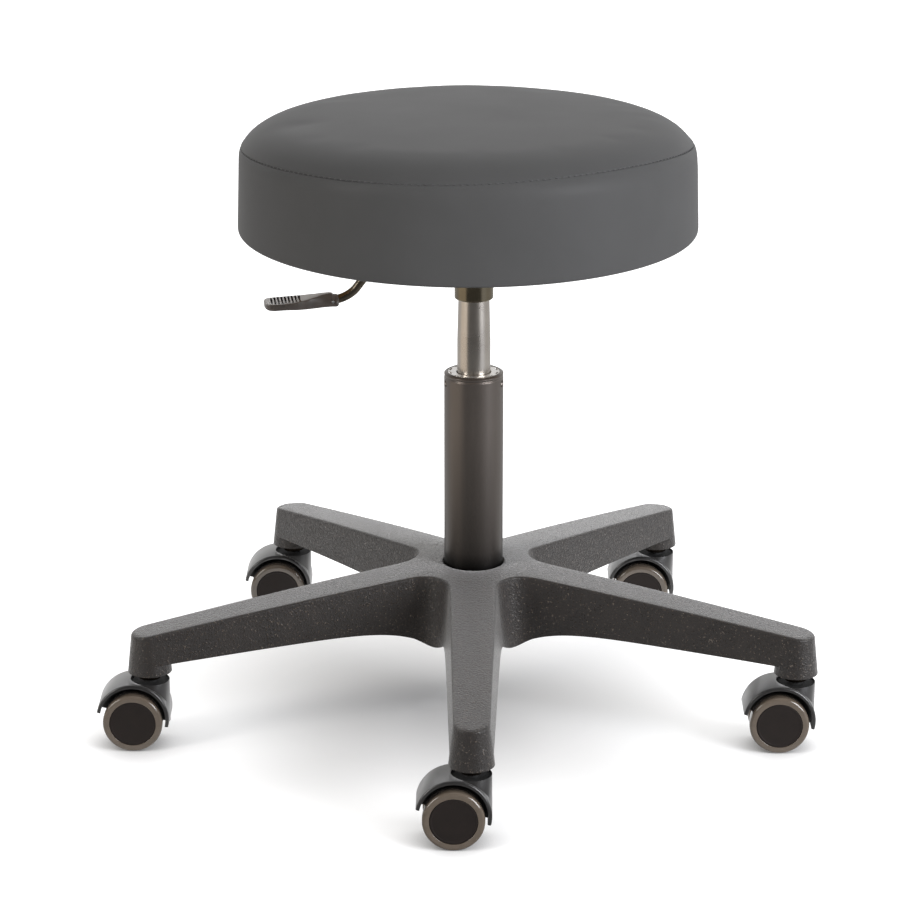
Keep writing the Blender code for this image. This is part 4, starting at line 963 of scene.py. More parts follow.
    def cutters(self) -> Object:
        """Blocks that hollow the legs from below, with the stem bores.

        Returns:
            One object that holds them all.
        """
        blocks = []
        first = self.socket + self.wall
        last = self.stem_circle - self.tip_radius - 3 * self.wall
        pitch = (last + self.wall - first) / self.pockets
        for azimuth, stem in zip(self.azimuths(), self.stem_points()):
            turn = Matrix.Rotation(azimuth, 3, "Z")
            for index in range(self.pockets):
                near = first + index * pitch
                far = near + pitch - self.wall
                block = add_block("leg_pocket", (1.0, 1.0, 1.0), Vector())
                for vertex in block.data.vertices:
                    along = far if vertex.co.x > 0 else near
                    width = self.half_width(max(along, self.start.x)) - self.wall
                    height = self.leg_top(along) - self.ceiling if vertex.co.z > 0 else self.hub_bottom - 0.02
                    vertex.co = turn @ Vector((along, math.copysign(width, vertex.co.y), height))
                blocks.append(block)
            middle = self.boss_bottom + (self.stem_bore_depth - self.overcut) / 2
            centre = stem + Vector((0.0, 0.0, middle))
            length = self.stem_bore_depth + self.overcut
            blocks.append(add_cylinder("stem_bore", self.stem_bore, length, centre, sides=32))
        return join(blocks, "leg_cutters")

    def build(self, material: Material) -> None:
        """Model and dress the base.

        Args:
            material: Its finish.
        """
        self.hub([self.leg(azimuth) for azimuth in self.azimuths()])
        star = from_bmesh(self.bm, "star_base")
        carve(star, self.cutters())
        dress(star, material, "base", "nylon", "base_star", angle=38.0)


# Column and gas lift

@dataclass
class Column:
    """The column tube and the guide bush in its mouth."""

    radius: float = 0.025
    wall: float = 0.0015
    bottom: float = 0.0608
    top: float = 0.3025
    floor: float = 0.003
    lip: float = 0.0012
    rim: float = 0.0024
    neck: float = 0.0045
    foot_radius: float = 0.0241
    groove: float = 0.2990
    groove_depth: float = 0.0008
    groove_half: float = 0.0009
    groove_steps: int = 30
    dimple_radius: float = 0.0033
    dimple_depth: float = 0.0030
    dimple_drop: float = 0.0056
    dimple_turns: Pair = (math.radians(197.0), math.radians(343.0))
    bush_top: float = 0.3022
    bush_step: float = 0.3009
    bush_face: float = 0.0220
    bush_bottom: float = 0.2310
    bush_bore: float = 0.0145
    bush_pockets: int = 12
    pocket_inset: float = 0.0019
    pocket_width: float = 0.0016
    pocket_depth: float = 0.02
    foot_run: float = 0.012

    def tube(self, material: Material) -> None:
        """Spin the tube, then press its crimp dimples in.

        Args:
            material: Its finish.
        """
        outer, bore = self.radius, self.radius - self.wall
        high = self.groove + 2 * self.groove_half
        low = self.groove - self.dimple_drop - 1.5 * self.dimple_radius
        profile = rounded([
            (bore - self.lip, self.top - self.lip, 0), (bore - self.lip, self.top, 0.0003),
            (outer - 1.3 * self.rim, self.top, self.rim), (outer, high + 0.0004, 0.0008), (outer, high, 0),
        ], 8)
        for step in range(1, self.groove_steps):
            height = high + (low - high) * step / self.groove_steps
            dip = self.groove_depth * math.exp(-((height - self.groove) / (0.7 * self.groove_half)) ** 2)
            profile.append((outer - dip, height))
        profile += [
            (outer, low), (outer, HUB_TOP + 0.02), (outer, HUB_TOP - self.foot_run),
            (self.foot_radius, self.bottom), (self.neck, self.bottom), (self.neck, self.bottom + self.floor),
            (self.foot_radius - self.wall, self.bottom + self.floor), (bore, HUB_TOP - self.foot_run),
            (bore, self.top - self.lip),
        ]
        tube = lathe("column_tube_dressed", profile, 160, ring=True)

        def press(point: Vector) -> Vector:
            """Push a point in where it lies within a dimple."""
            flat = point.xy
            if flat.length < self.radius - 0.8 * self.wall:
                return point
            angle = math.atan2(flat.y, flat.x)
            offset = min(abs((angle - turn + math.pi) % FULL_TURN - math.pi) for turn in self.dimple_turns)
            level = self.groove - self.dimple_drop
            away = math.hypot(offset * self.radius, point.z - level) / self.dimple_radius
            if away < 1.0:
                flat = flat * (1 - self.dimple_depth * (1 - away ** 2) ** 0.7 / flat.length)
            return Vector((flat.x, flat.y, point.z))

        reshape(tube, press)
        dress(tube, material, "base", "column_steel", "column_tube")

    def bush(self, material: Material) -> None:
        """Spin the guide bush and sink the pockets in its top.

        Args:
            material: Its finish.
        """
        skirt = self.radius - self.wall - CLEARANCE
        profile = rounded([
            (self.bush_bore, self.bush_bottom, 0), (self.bush_bore, self.bush_top, 0.0008),
            (self.bush_face, self.bush_top, 0.0003), (self.bush_face, self.bush_step, 0),
            (skirt, self.bush_step, 0.0002), (skirt, self.bush_bottom, 0.0004),
            (self.bush_bore, self.bush_bottom, 0),
        ], 4)[:-1]
        bush = lathe("guide_bush_dressed", profile, 96, ring=True)
        middle = self.bush_face - self.pocket_inset
        pockets = []
        for index in range(self.bush_pockets):
            angle = (index + 0.5) * FULL_TURN / self.bush_pockets
            centre = Vector((middle * math.cos(angle), middle * math.sin(angle), self.bush_top))
            length = 0.5 * middle * FULL_TURN / self.bush_pockets
            size = (self.pocket_width, length, 2 * self.pocket_depth)
            pockets.append(add_block("bush_pocket", size, centre, (0, 0, angle)))
        carve(bush, join(pockets, "bush_pockets"))
        soften(bush, 0.0002, 2)
        dress(bush, material, "base", "pale_plastic", "guide_bush")


@dataclass
class GasLift:
    """The bare cylinder with its tapered top."""

    radius: float = 0.014
    taper_bottom: float = 0.3295
    taper_rate: float = 0.025
    gland: float = 0.0053
    gland_length: float = 0.008
    bore: float = 0.012
    head: float = 0.004
    valve_bore: float = 0.0038
    valve_depth: float = 0.014

    def build(self, material: Material) -> None:
        """Spin and dress the cylinder.

        Args:
            material: Its finish.
        """
        low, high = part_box("gas_cylinder")
        top_radius = self.radius - self.taper_rate * (high.z - self.taper_bottom)
        profile = rounded([
            (self.valve_bore, high.z - self.valve_depth, 0), (self.valve_bore, high.z, 0.0004),
            (top_radius, high.z, 0.0012), (self.radius, self.taper_bottom, 0.02), (self.radius, low.z, 0.002),
            (self.gland, low.z, 0.0004), (self.gland, low.z + self.gland_length, 0),
            (self.bore, low.z + self.gland_length, 0), (self.bore, self.taper_bottom - self.head, 0),
            (self.bore / 2, self.taper_bottom + 0.01, 0), (0.0, self.taper_bottom + 0.01, 0),
        ], 6)
        profile = [(0.0, high.z - self.valve_depth), *profile]
        dress(lathe("gas_cylinder_dressed", profile, 96), material, "seat", "bare_steel", "gas_cylinder")


# Seat plate and lever

@dataclass
class SeatPlate:
    """The pressed plate under the seat, with its taper sleeve, pivot ears and screws."""

    side: float = 0.150
    corner: float = 0.015
    bottom: float = 0.4264
    top: float = 0.4289
    sleeve_radius: float = 0.0163
    sleeve_bottom: float = 0.3660
    sleeve_mouth: float = 0.01335
    sleeve_inside: float = 0.0126
    sleeve_roof: float = 0.003
    cylinder_top: float = 0.3965
    slot_bottom: float = 0.3992
    slot_top: float = 0.41425
    slot_width: float = 0.009
    ear_width: float = 0.014
    ear_thickness: float = 0.003
    ear_offset: float = 0.0068
    ear_root: float = 0.001
    hole_spacing: float = 0.120
    screw_radius: float = 0.003
    screw_head: float = 0.006
    screw_head_height: float = 0.004
    screw_length: float = 0.012
    recess: Triple = (0.0062, 0.0012, 0.0036)

    def build(self, material: Material, zinc: Material) -> None:
        """Model and dress the plate and its screws.

        Args:
            material: The plate's finish.
            zinc: The screws' finish.
        """
        thick = self.top - self.bottom
        centre = Vector((0, 0, self.bottom + thick / 2))
        plate = add_block("seat_plate_dressed", (self.side, self.side, thick), centre)
        self.round_corners(plate)
        ceiling = self.bottom - self.sleeve_roof
        profile = rounded([
            (0.0, self.top - 0.0008, 0), (self.sleeve_radius + 0.004, self.top - 0.0008, 0),
            (self.sleeve_radius, ceiling, 0.004), (self.sleeve_radius, self.sleeve_bottom, 0.0024),
            (self.sleeve_mouth, self.sleeve_bottom, 0.0005), (self.sleeve_inside, self.cylinder_top, 0),
            (self.sleeve_inside, ceiling, 0), (0.0, ceiling, 0),
        ], 6)
        carve(plate, lathe("plate_sleeve", profile, 96), "UNION")
        lever = Matrix.Rotation(LEVER_AZIMUTH, 4, "Z")
        turn = (0.0, 0.0, LEVER_AZIMUTH)
        ear_low = PIVOT_HEIGHT - self.ear_width / 2
        ear_middle = (ear_low + self.top - self.ear_root) / 2
        for side in (-1, 1):
            centre = lever @ Vector((PIVOT_RADIUS, side * self.ear_offset, ear_middle))
            size = (self.ear_width, self.ear_thickness, self.top - self.ear_root - ear_low)
            carve(plate, add_block("pivot_ear", size, centre, turn), "UNION")
        centre = lever @ Vector((self.sleeve_radius, 0.0, (self.slot_bottom + self.slot_top) / 2))
        size = (self.sleeve_radius, self.slot_width, self.slot_top - self.slot_bottom)
        carve(plate, add_block("lever_slot", size, centre, turn))
        pin_turn = (math.pi / 2, 0.0, LEVER_AZIMUTH)
        centre = lever @ Vector((PIVOT_RADIUS, 0.0, PIVOT_HEIGHT))
        carve(plate, add_cylinder("pin_hole", PIN_HOLE, 0.03, centre, pin_turn, 24))
        for x, y in self.hole_places():
            centre = Vector((x, y, self.bottom))
            carve(plate, add_cylinder("screw_hole", self.screw_radius + CLEARANCE, 0.01, centre, sides=24))
        soften(plate, 0.0004, 2)
        dress(plate, material, "seat", "black_steel", "seat_plate")
        self.screws(zinc)

    def hole_places(self) -> list[Pair]:
        """Places of the four screws, in their nodes' order."""
        half = self.hole_spacing / 2
        return [(-half, -half), (half, -half), (half, half), (-half, half)]

    def round_corners(self, plate: Object) -> None:
        """Round the plate's four upright edges.

        Args:
            plate: The plate's blank.
        """
        focus(plate)
        bpy.ops.object.mode_set(mode="EDIT")
        bpy.ops.mesh.select_all(action="DESELECT")
        bm = bmesh.from_edit_mesh(plate.data)
        for edge in bm.edges:
            ends = [vert.co for vert in edge.verts]
            edge.select_set(abs(ends[0].z - ends[1].z) > 0.001)
        bmesh.update_edit_mesh(plate.data)
        bpy.ops.mesh.bevel(offset=self.corner, segments=8, affect="EDGES")
        bpy.ops.object.mode_set(mode="OBJECT")

    def screws(self, zinc: Material) -> None:
        """Model one pan-head screw with a cross recess and copy it to the four holes.

        Args:
            zinc: The screws' finish.
        """
        under = self.bottom - CLEARANCE
        crown = under - self.screw_head_height
        point = self.bottom + self.screw_length
        profile = rounded([
            (0.0, point, 0), (self.screw_radius, point, 0.0006), (self.screw_radius, under, 0),
            (self.screw_head, under, 0.0004), (self.screw_head, crown, 0.0028), (0.0, crown, 0),
        ], 5)
        screw = lathe("plate_screw_dressed", profile, 40)
        for angle in (0.0, math.pi / 2):
            carve(screw, add_block("cross_recess", self.recess, Vector((0, 0, crown)), (0, 0, angle)))
        shade(screw)
        coat(screw, zinc)
        for index, (x, y) in enumerate(self.hole_places()):
            made = copy_piece(screw, f"plate_screw_{index + 1}_dressed", Matrix.Translation((x, y, 0)))
            seat_on(made, "seat", "plain_steel", f"plate_screw_{index + 1}")
        bpy.data.objects.remove(screw, do_unlink=True)


@dataclass
class Lever:
    """The bent lever rod, its ribbed paddle and the paddle's screw."""

    rod_radius: float = 0.00325
    rod_swell: float = 0.16
    overrun: float = 0.003
    valve_flat: float = 0.0006
    bend: float = 0.0757
    drop: float = 0.0395
    drop_run: float = 0.0303
    end_run: float = 0.027
    bend_soft: Pair = (0.013, 0.0122)
    swell_run: Pair = (0.045, 0.065)
    barrel_radius: float = 0.00475
    barrel_width: float = 0.010
    paddle_start: float = 0.1135
    paddle_length: float = 0.062
    paddle_half: float = 0.0125
    neck_half: float = 0.00625
    neck_tall: float = 0.0049
    grooves: int = 9
    groove_pitch: float = 0.0029
    groove_length: float = 0.0216
    groove_width: float = 0.0017
    groove_depth: float = 0.0025
    screw_inset: float = 0.005
    screw_high: float = 0.0011
    screw_shank: float = 0.0009

    def frame(self) -> Matrix:
        """A turn that takes +X along the lever, raised to the pivot's height."""
        return Matrix.Translation((0, 0, PIVOT_HEIGHT)) @ Matrix.Rotation(LEVER_AZIMUTH, 4, "Z")

    def bore(self) -> float:
        """Radius of the paddle's bore, which the thick end of the rod fills with a little room."""
        return self.rod_radius * (1 + self.rod_swell) + 0.0002

    def path(self) -> list[Vector]:
        """The rod's centre line in its own plane.

        Returns:
            Points from the inner end to the end inside the paddle.
        """
        first = Vector((self.bend, 0.0, 0.0))
        second = Vector((self.bend + self.drop_run, 0.0, -self.drop))
        level = Vector((1.0, 0.0, 0.0))
        slope = (second - first).normalized()
        points = [Vector((-self.overrun, 0.0, 0.0))]
        turns = ((first, level, slope), (second, slope, level))
        for (corner, before, after), soft in zip(turns, self.bend_soft):
            points += interpolate_bezier(corner - soft * before, corner - 0.45 * soft * before,
                                         corner + 0.45 * soft * after, corner + soft * after, 14)
        return [*points, second + self.end_run * level]

    def rod(self, material: Material) -> None:
        """Bend the rod, add its pivot barrel and dress it.

        Args:
            material: Its finish.
        """
        curve = bpy.data.curves.new("lever_rod_dressed", "CURVE")
        curve.dimensions = "3D"
        curve.bevel_depth = self.rod_radius
        curve.bevel_resolution = 6
        curve.use_fill_caps = True
        points = self.path()
        spline = curve.splines.new("POLY")
        spline.points.add(len(points) - 1)
        for spot, point in zip(points, spline.points):
            point.co = (*spot, 1.0)
            point.radius = 1.0 + self.rod_swell * smooth_step(spot.x, *self.swell_run)
        rod = bpy.data.objects.new("lever_rod_dressed", curve)
        bpy.context.collection.objects.link(rod)
        focus(rod)
        bpy.ops.object.convert(target="MESH")
        rod = bpy.context.object
        bpy.ops.object.mode_set(mode="EDIT")
        weld()
        centre = Vector((PIVOT_RADIUS, 0, 0))
        barrel = add_cylinder("lever_barrel", self.barrel_radius, self.barrel_width, centre, SIDEWAYS, 40)
        carve(rod, barrel, "UNION")
        carve(rod, add_cylinder("lever_bore", PIN_HOLE, 0.02, centre, SIDEWAYS, 24))
        under = Vector((0.0, 0.0, self.valve_flat - self.rod_radius - 0.002))
        carve(rod, add_block("valve_flat", (0.011, 0.02, 0.004), under))
        rod.data.transform(self.frame())
        dress(rod, material, "lever", "black_steel", "lever_rod")

    def sections(self) -> list[tuple[float, float, float, float]]:
        """Stations along the paddle: share of its length, half width, top and bottom about the rod."""
        half, neck, tall = self.paddle_half, self.neck_half, self.neck_tall
        low = -0.8 * tall
        return [
            (0.00, 0.80 * neck, 0.70 * tall, -0.70 * tall), (0.01, 0.93 * neck, 0.88 * tall, -0.90 * tall),
            (0.03, neck, 0.96 * tall, -tall), (0.07, neck, 0.98 * tall, -tall),
            (0.10, neck, 1.28 * tall, -tall), (0.20, neck, 1.17 * tall, -1.06 * tall),
            (0.33, 0.8 * neck + 0.2 * half, 0.85 * tall, -1.14 * tall),
            (0.45, 0.45 * neck + 0.55 * half, 0.58 * tall, -1.14 * tall),
            (0.58, 0.1 * neck + 0.9 * half, 0.34 * tall, -1.08 * tall),
            (0.72, half, 0.20 * tall, low - 0.0011), (0.86, half, 0.10 * tall, low - 0.0014),
            (0.92, 0.96 * half, 0.08 * tall, low - 0.0013), (0.96, 0.86 * half, 0.06 * tall, low - 0.0009),
            (0.985, 0.68 * half, 0.01 * tall, low - 0.0002), (1.00, 0.45 * half, -0.10 * tall, low + 0.0008),
        ]

    def top_at(self, share: float) -> float:
        """Height of the paddle's top about the rod at a share of its length."""
        stations = self.sections()
        for first, second in zip(stations, stations[1:]):
            if first[0] <= share <= second[0]:
                return first[2] + (second[2] - first[2]) * (share - first[0]) / (second[0] - first[0])
        return stations[-1][2]

    def smooth_sections(self, steps: int = 6) -> list[tuple[float, float, float, float]]:
        """The paddle's stations with curved steps between them.

        Args:
            steps: New stations between two given ones.

        Returns:
            The finer list of stations.
        """
        given = [Vector(section) for section in self.sections()]
        fine = []
        for index in range(len(given) - 1):
            before = given[max(0, index - 1)]
            first, second = given[index], given[index + 1]
            after = given[min(len(given) - 1, index + 2)]
            for step in range(steps):
                t = step / steps
                pull_one = 0.35 * (second - before) * t * (1 - t) ** 2
                pull_two = 0.35 * (after - first) * t ** 2 * (1 - t)
                eased = first * (1 - 3 * t ** 2 + 2 * t ** 3) + second * (3 * t ** 2 - 2 * t ** 3)
                spot = eased + pull_one - pull_two
                spot[0] = first[0] + (second[0] - first[0]) * t
                fine.append(tuple(spot))
        return [*fine, tuple(given[-1])]

    def paddle(self, material: Material) -> None:
        """Loft the paddle, then cut its bore and finger grooves.

        Args:
            material: Its finish.
        """
        bm = bmesh.new()
        rings = []
        sides = 40
        for share, half, top, low in self.smooth_sections():
            middle, tall = 0.5 * (top + low), 0.5 * (top - low)
            power = 0.26 - 0.08 * min(1.0, share / 0.5)
            ring = []
            narrow = 1.0 - smooth_step(share, 0.08, 0.40)
            for index in range(sides):
                angle = FULL_TURN * index / sides
                across = math.copysign(abs(math.cos(angle)) ** power, math.cos(angle)) * half
                lift = math.copysign(abs(math.sin(angle)) ** power, math.sin(angle))
                across *= 1.0 - 0.62 * narrow * max(0.0, lift)
                height = middle + lift * tall
                run = self.paddle_start + share * self.paddle_length
                ring.append(bm.verts.new((run, across, height - self.drop)))
            rings.append(ring)
        wrap(bm, rings)
        bm.faces.new(rings[0])
        bm.faces.new(rings[-1])
        paddle = from_bmesh(bm, "lever_paddle_dressed")
        end = self.bend + self.drop_run + self.end_run + 0.0006
        centre = Vector((end - 0.02, 0.0, -self.drop))
        carve(paddle, add_cylinder("paddle_bore", self.bore(), 0.04, centre, (0, math.pi / 2, 0), 32))
        centre = Vector((self.paddle_start + self.screw_inset, self.neck_half, -self.drop))
        carve(paddle, add_cylinder("paddle_screw_hole", 0.0013, 0.008, centre, SIDEWAYS, 24))
        tools = []
        for index in range(self.grooves):
            run = 0.90 * self.paddle_length - index * self.groove_pitch
            floor = self.top_at(run / self.paddle_length) - self.groove_depth - self.drop
            length = self.groove_length if index else 0.8 * self.groove_length
            centre = Vector((self.paddle_start + run, 0, floor + 0.002))
            tool = add_block("finger_groove", (self.groove_width, length, 0.004), centre)
            soften(tool, 0.45 * self.groove_width, 3)
            tools.append(tool)
        carve(paddle, join(tools, "finger_grooves"))
        paddle.data.transform(self.frame())
        dress(paddle, material, "lever", "grey_plastic", "lever_paddle")

    def screw(self, material: Material) -> None:
        """Model the paddle's small screw with a cross recess.

        Args:
            material: Its finish.
        """
        tip = self.bore() - self.neck_half
        profile = rounded([
            (0.0, self.screw_high, 0), (0.0012, 0.0009, 0.0005), (0.0012, 0.0003, 0.0002),
            (self.screw_shank, 0.0003, 0), (self.screw_shank, tip, 0), (0.0, tip, 0),
        ], 4)
        screw = lathe("paddle_screw_dressed", profile, 32)
        for angle in (0.4, 0.4 + math.pi / 2):
            crown = Vector((0, 0, self.screw_high))
            carve(screw, add_block("cross_recess", (0.0014, 0.0004, 0.0010), crown, (0, 0, angle)))
        spot = Vector((self.paddle_start + self.screw_inset, self.neck_half, -self.drop))
        screw.data.transform(self.frame() @ Matrix.Translation(spot) @ Matrix.Rotation(-math.pi / 2, 4, "X"))
        dress(screw, material, "lever", "plain_steel", "paddle_screw")


# Casters

@dataclass
class Casters:
    """Five hooded twin-wheel casters, modelled once and copied."""

    names: tuple[str, ...] = ("front", "right", "rear_right", "rear_left", "left")
    wheel_radius: float = 0.025
    trail: float = 0.014
    web: float = 0.009
    wheel_width: float = 0.0157
    tread_inner: float = 0.0194
    core_radius: float = 0.0193
    axle_radius: float = 0.003
    boss_radius: float = 0.007
    hood_inner: float = 0.0275
    hood_outer: float = 0.0305
    hood_rise: float = 0.0035
    hood_width: float = 0.037
    hood_tilt: float = math.radians(12.5)
    hood_cut: float = 0.0028
    hood_top: float = 0.0595
    dish: Triple = (0.0062, 0.0155, 0.0024)
    brim: float = 0.0014
    housing_radius: float = 0.0163
    stem_radius: float = 0.0055
    stem_top: float = 0.0939
    collar_radius: float = 0.0095
    collar_bottom: float = 0.0598
    collar_top: float = 0.0656
    spigot_radius: float = 0.0025
    spigot_bottom: float = 0.0438

    def axle(self) -> Vector:
        """The axle's middle, from the foot of the stem's axis."""
        return Vector((-self.trail, 0.0, self.wheel_radius))

    def hood(self) -> Object:
        """Model the caster body: half a drum, the stem housing and the web.

        Returns:
            The body at the stem's axis.
        """
        drum = self.axle() + Vector((0.0, 0.0, self.hood_rise))
        body = add_cylinder("caster_hood", self.hood_outer, self.hood_width, drum, SIDEWAYS, 96)
        soften(body, 0.0016, 3)
        low = 0.5 * self.wheel_radius
        centre = Vector((0, 0, (low + self.hood_top) / 2))
        housing = add_cylinder("stem_housing", self.housing_radius, self.hood_top - low, centre, sides=72)
        soften(housing, 0.0007, 3)
        carve(body, housing, "UNION")
        depth = 3 * self.hood_outer
        turn = Matrix.Rotation(self.hood_tilt, 4, "Y")
        centre = self.axle() + turn @ Vector((0, 0, self.hood_cut - depth / 2))
        carve(body, add_block("lower_half", (3 * depth, depth, depth), centre, (0, self.hood_tilt, 0)))
        boss = add_cylinder("axle_boss", self.boss_radius, 2 * self.web, self.axle(), SIDEWAYS, 40)
        carve(body, boss, "UNION")
        for side in (-1, 1):
            centre = drum + Vector((0, side * (self.web / 2 + self.hood_width / 2), 0))
            carve(body, add_cylinder("wheel_room", self.hood_inner, self.hood_width, centre, SIDEWAYS, 96))
        carve(body, add_cylinder("axle_bore", self.axle_radius + CLEARANCE, 0.03, self.axle(), SIDEWAYS, 24))
        centre = Vector((0, 0, 0.5 * (self.spigot_bottom + self.hood_top) + 0.002))
        length = self.hood_top - self.spigot_bottom + 0.0046
        carve(body, add_cylinder("spigot_bore", self.spigot_radius + CLEARANCE, length, centre, sides=24))
        inner, outer, deep = self.dish
        crown = Vector((0, 0, self.hood_top))
        for radius, sink in ((self.housing_radius + 0.0002, self.brim), (outer, deep)):
            dish = add_cylinder("stem_dish", radius, 2 * sink, crown, sides=72)
            carve(dish, add_cylinder("stem_seat", inner, 3 * deep, crown, sides=48))
            carve(body, dish)
        soften(body, 0.00035, 2)
        return shade(body)

    def paint_recess_shade(self, hood: Object, dull: Material) -> None:
        """Paint the recess around the stem dull black, as painted shade under the overhanging socket.

        Args:
            hood: The caster body at the stem's axis.
            dull: The dull black finish that paints the shade.
        """
        hood.data.materials.append(dull)
        floor = self.hood_top - self.dish[2] - 0.0003
        for face in hood.data.polygons:
            if face.center.z > floor and face.center.xy.length < self.housing_radius - 0.0005:
                face.material_index = 1

    def stem(self) -> Object:
        """Spin the stem with its load collar and the groove for its snap ring."""
        top, snug = self.stem_top, self.stem_radius
        neck = snug - 0.0005
        profile = rounded([
            (0.0, top, 0), (snug, top, 0.0012), (snug, top - 0.004, 0.0003), (neck, top - 0.0045, 0),
            (neck, top - 0.006, 0), (snug, top - 0.0065, 0.0003), (snug, self.collar_top, 0),
            (self.collar_radius, self.collar_top, 0.0006), (self.collar_radius, self.collar_bottom, 0.0006),
            (self.spigot_radius, self.collar_bottom, 0), (self.spigot_radius, self.spigot_bottom, 0.0005),
            (0.0, self.spigot_bottom, 0),
        ], 4)
        return shade(lathe("caster_stem", profile, 48))

    def pin(self) -> Object:
        """Spin the axle with chamfered ends."""
        half = self.web / 2 + CLEARANCE + 0.7 * self.wheel_width
        profile = rounded([
            (0.0, half, 0), (self.axle_radius, half, 0.0006), (self.axle_radius, -half, 0.0006),
            (0.0, -half, 0),
        ], 3)
        pin = lathe("caster_axle", profile, 32)
        pin.data.transform(Matrix.Translation(self.axle()) @ Matrix.Rotation(math.pi / 2, 4, "X"))
        return shade(pin)

    def tread(self) -> Object:
        """Spin the soft tread, with a full round shoulder on its outer side."""
        far = self.wheel_width
        outer = self.wheel_radius
        profile = rounded([
            (self.tread_inner, 0.3 * far, 0), (self.tread_inner, far - 0.0003, 0.0003), (outer, far, 0.0033),
            (outer, 0.45 * far, 0.012), (outer - 0.0005, 0.0018, 0.002),
            (outer - 0.002, 0.0, 0.0012), (self.tread_inner, 0.0, 0.0004), (self.tread_inner, 0.3 * far, 0),
        ], 7)[:-1]
        return shade(lathe("wheel_tread", profile, 112, ring=True), 45.0)

    def core(self) -> Object:
        """Spin the wheel core with its flat disc face and a fine step at the rim."""
        face = self.wheel_width - 0.0005
        rim = self.core_radius
        bore = self.axle_radius + 0.0005
        profile = rounded([
            (0.0, face - 0.0002, 0), (rim - 0.0022, face - 0.0002, 0.0004), (rim - 0.0016, face, 0.0003),
            (rim - 0.0004, face, 0.0004), (rim, face - 0.0006, 0.0003), (rim, 0.0, 0.0004),
            (bore, 0.0, 0.0004), (bore, 0.75 * self.wheel_width, 0), (0.0, 0.75 * self.wheel_width, 0),
        ], 4)
        return shade(lathe("wheel_core", profile, 96))

    def build(self, stems: list[Vector], finishes: dict[Surface, Material]) -> None:
        """Model one caster and copy it under every leg.

        Args:
            stems: Places of the stems.
            finishes: The materials.
        """
        hood, stem, pin = self.hood(), self.stem(), self.pin()
        tread, core = self.tread(), self.core()
        coat(hood, finishes[Surface.HOOD])
        # Painted shade: the stem's recess gets the dull black rubber finish.
        self.paint_recess_shade(hood, finishes[Surface.RUBBER])
        coat(stem, finishes[Surface.PHOSPHATE])
        coat(pin, finishes[Surface.ZINC])
        coat(tread, finishes[Surface.TREAD])
        coat(core, finishes[Surface.DISC])
        fixed = ((hood, "hood", "black_plastic"), (stem, "stem", "plain_steel"), (pin, "axle", "plain_steel"))
        for name, point in zip(self.names, stems):
            shift = Matrix.Translation(point)
            body = f"{name}_caster"
            for piece, word, slot in fixed:
                made = copy_piece(piece, f"{body}_{word}_dressed", shift)
                seat_on(made, body, slot, f"{body}_{word}")
            for letter, side in (("a", -1), ("b", 1)):
                inset = Vector((0, side * (self.web / 2 + CLEARANCE), 0))
                lean = Matrix.Rotation(-side * math.pi / 2, 4, "X")
                place = shift @ Matrix.Translation(self.axle() + inset) @ lean
                wheel = f"{name}_wheel_{letter}"
                for piece, word, slot in ((tread, "tread", "tread"), (core, "core", "dark_plastic")):
                    made = copy_piece(piece, f"{wheel}_{word}_dressed", place)
                    seat_on(made, wheel, slot, f"{wheel}_{word}")
        for piece in (hood, stem, pin, tread, core):
            bpy.data.objects.remove(piece, do_unlink=True)


# Seat

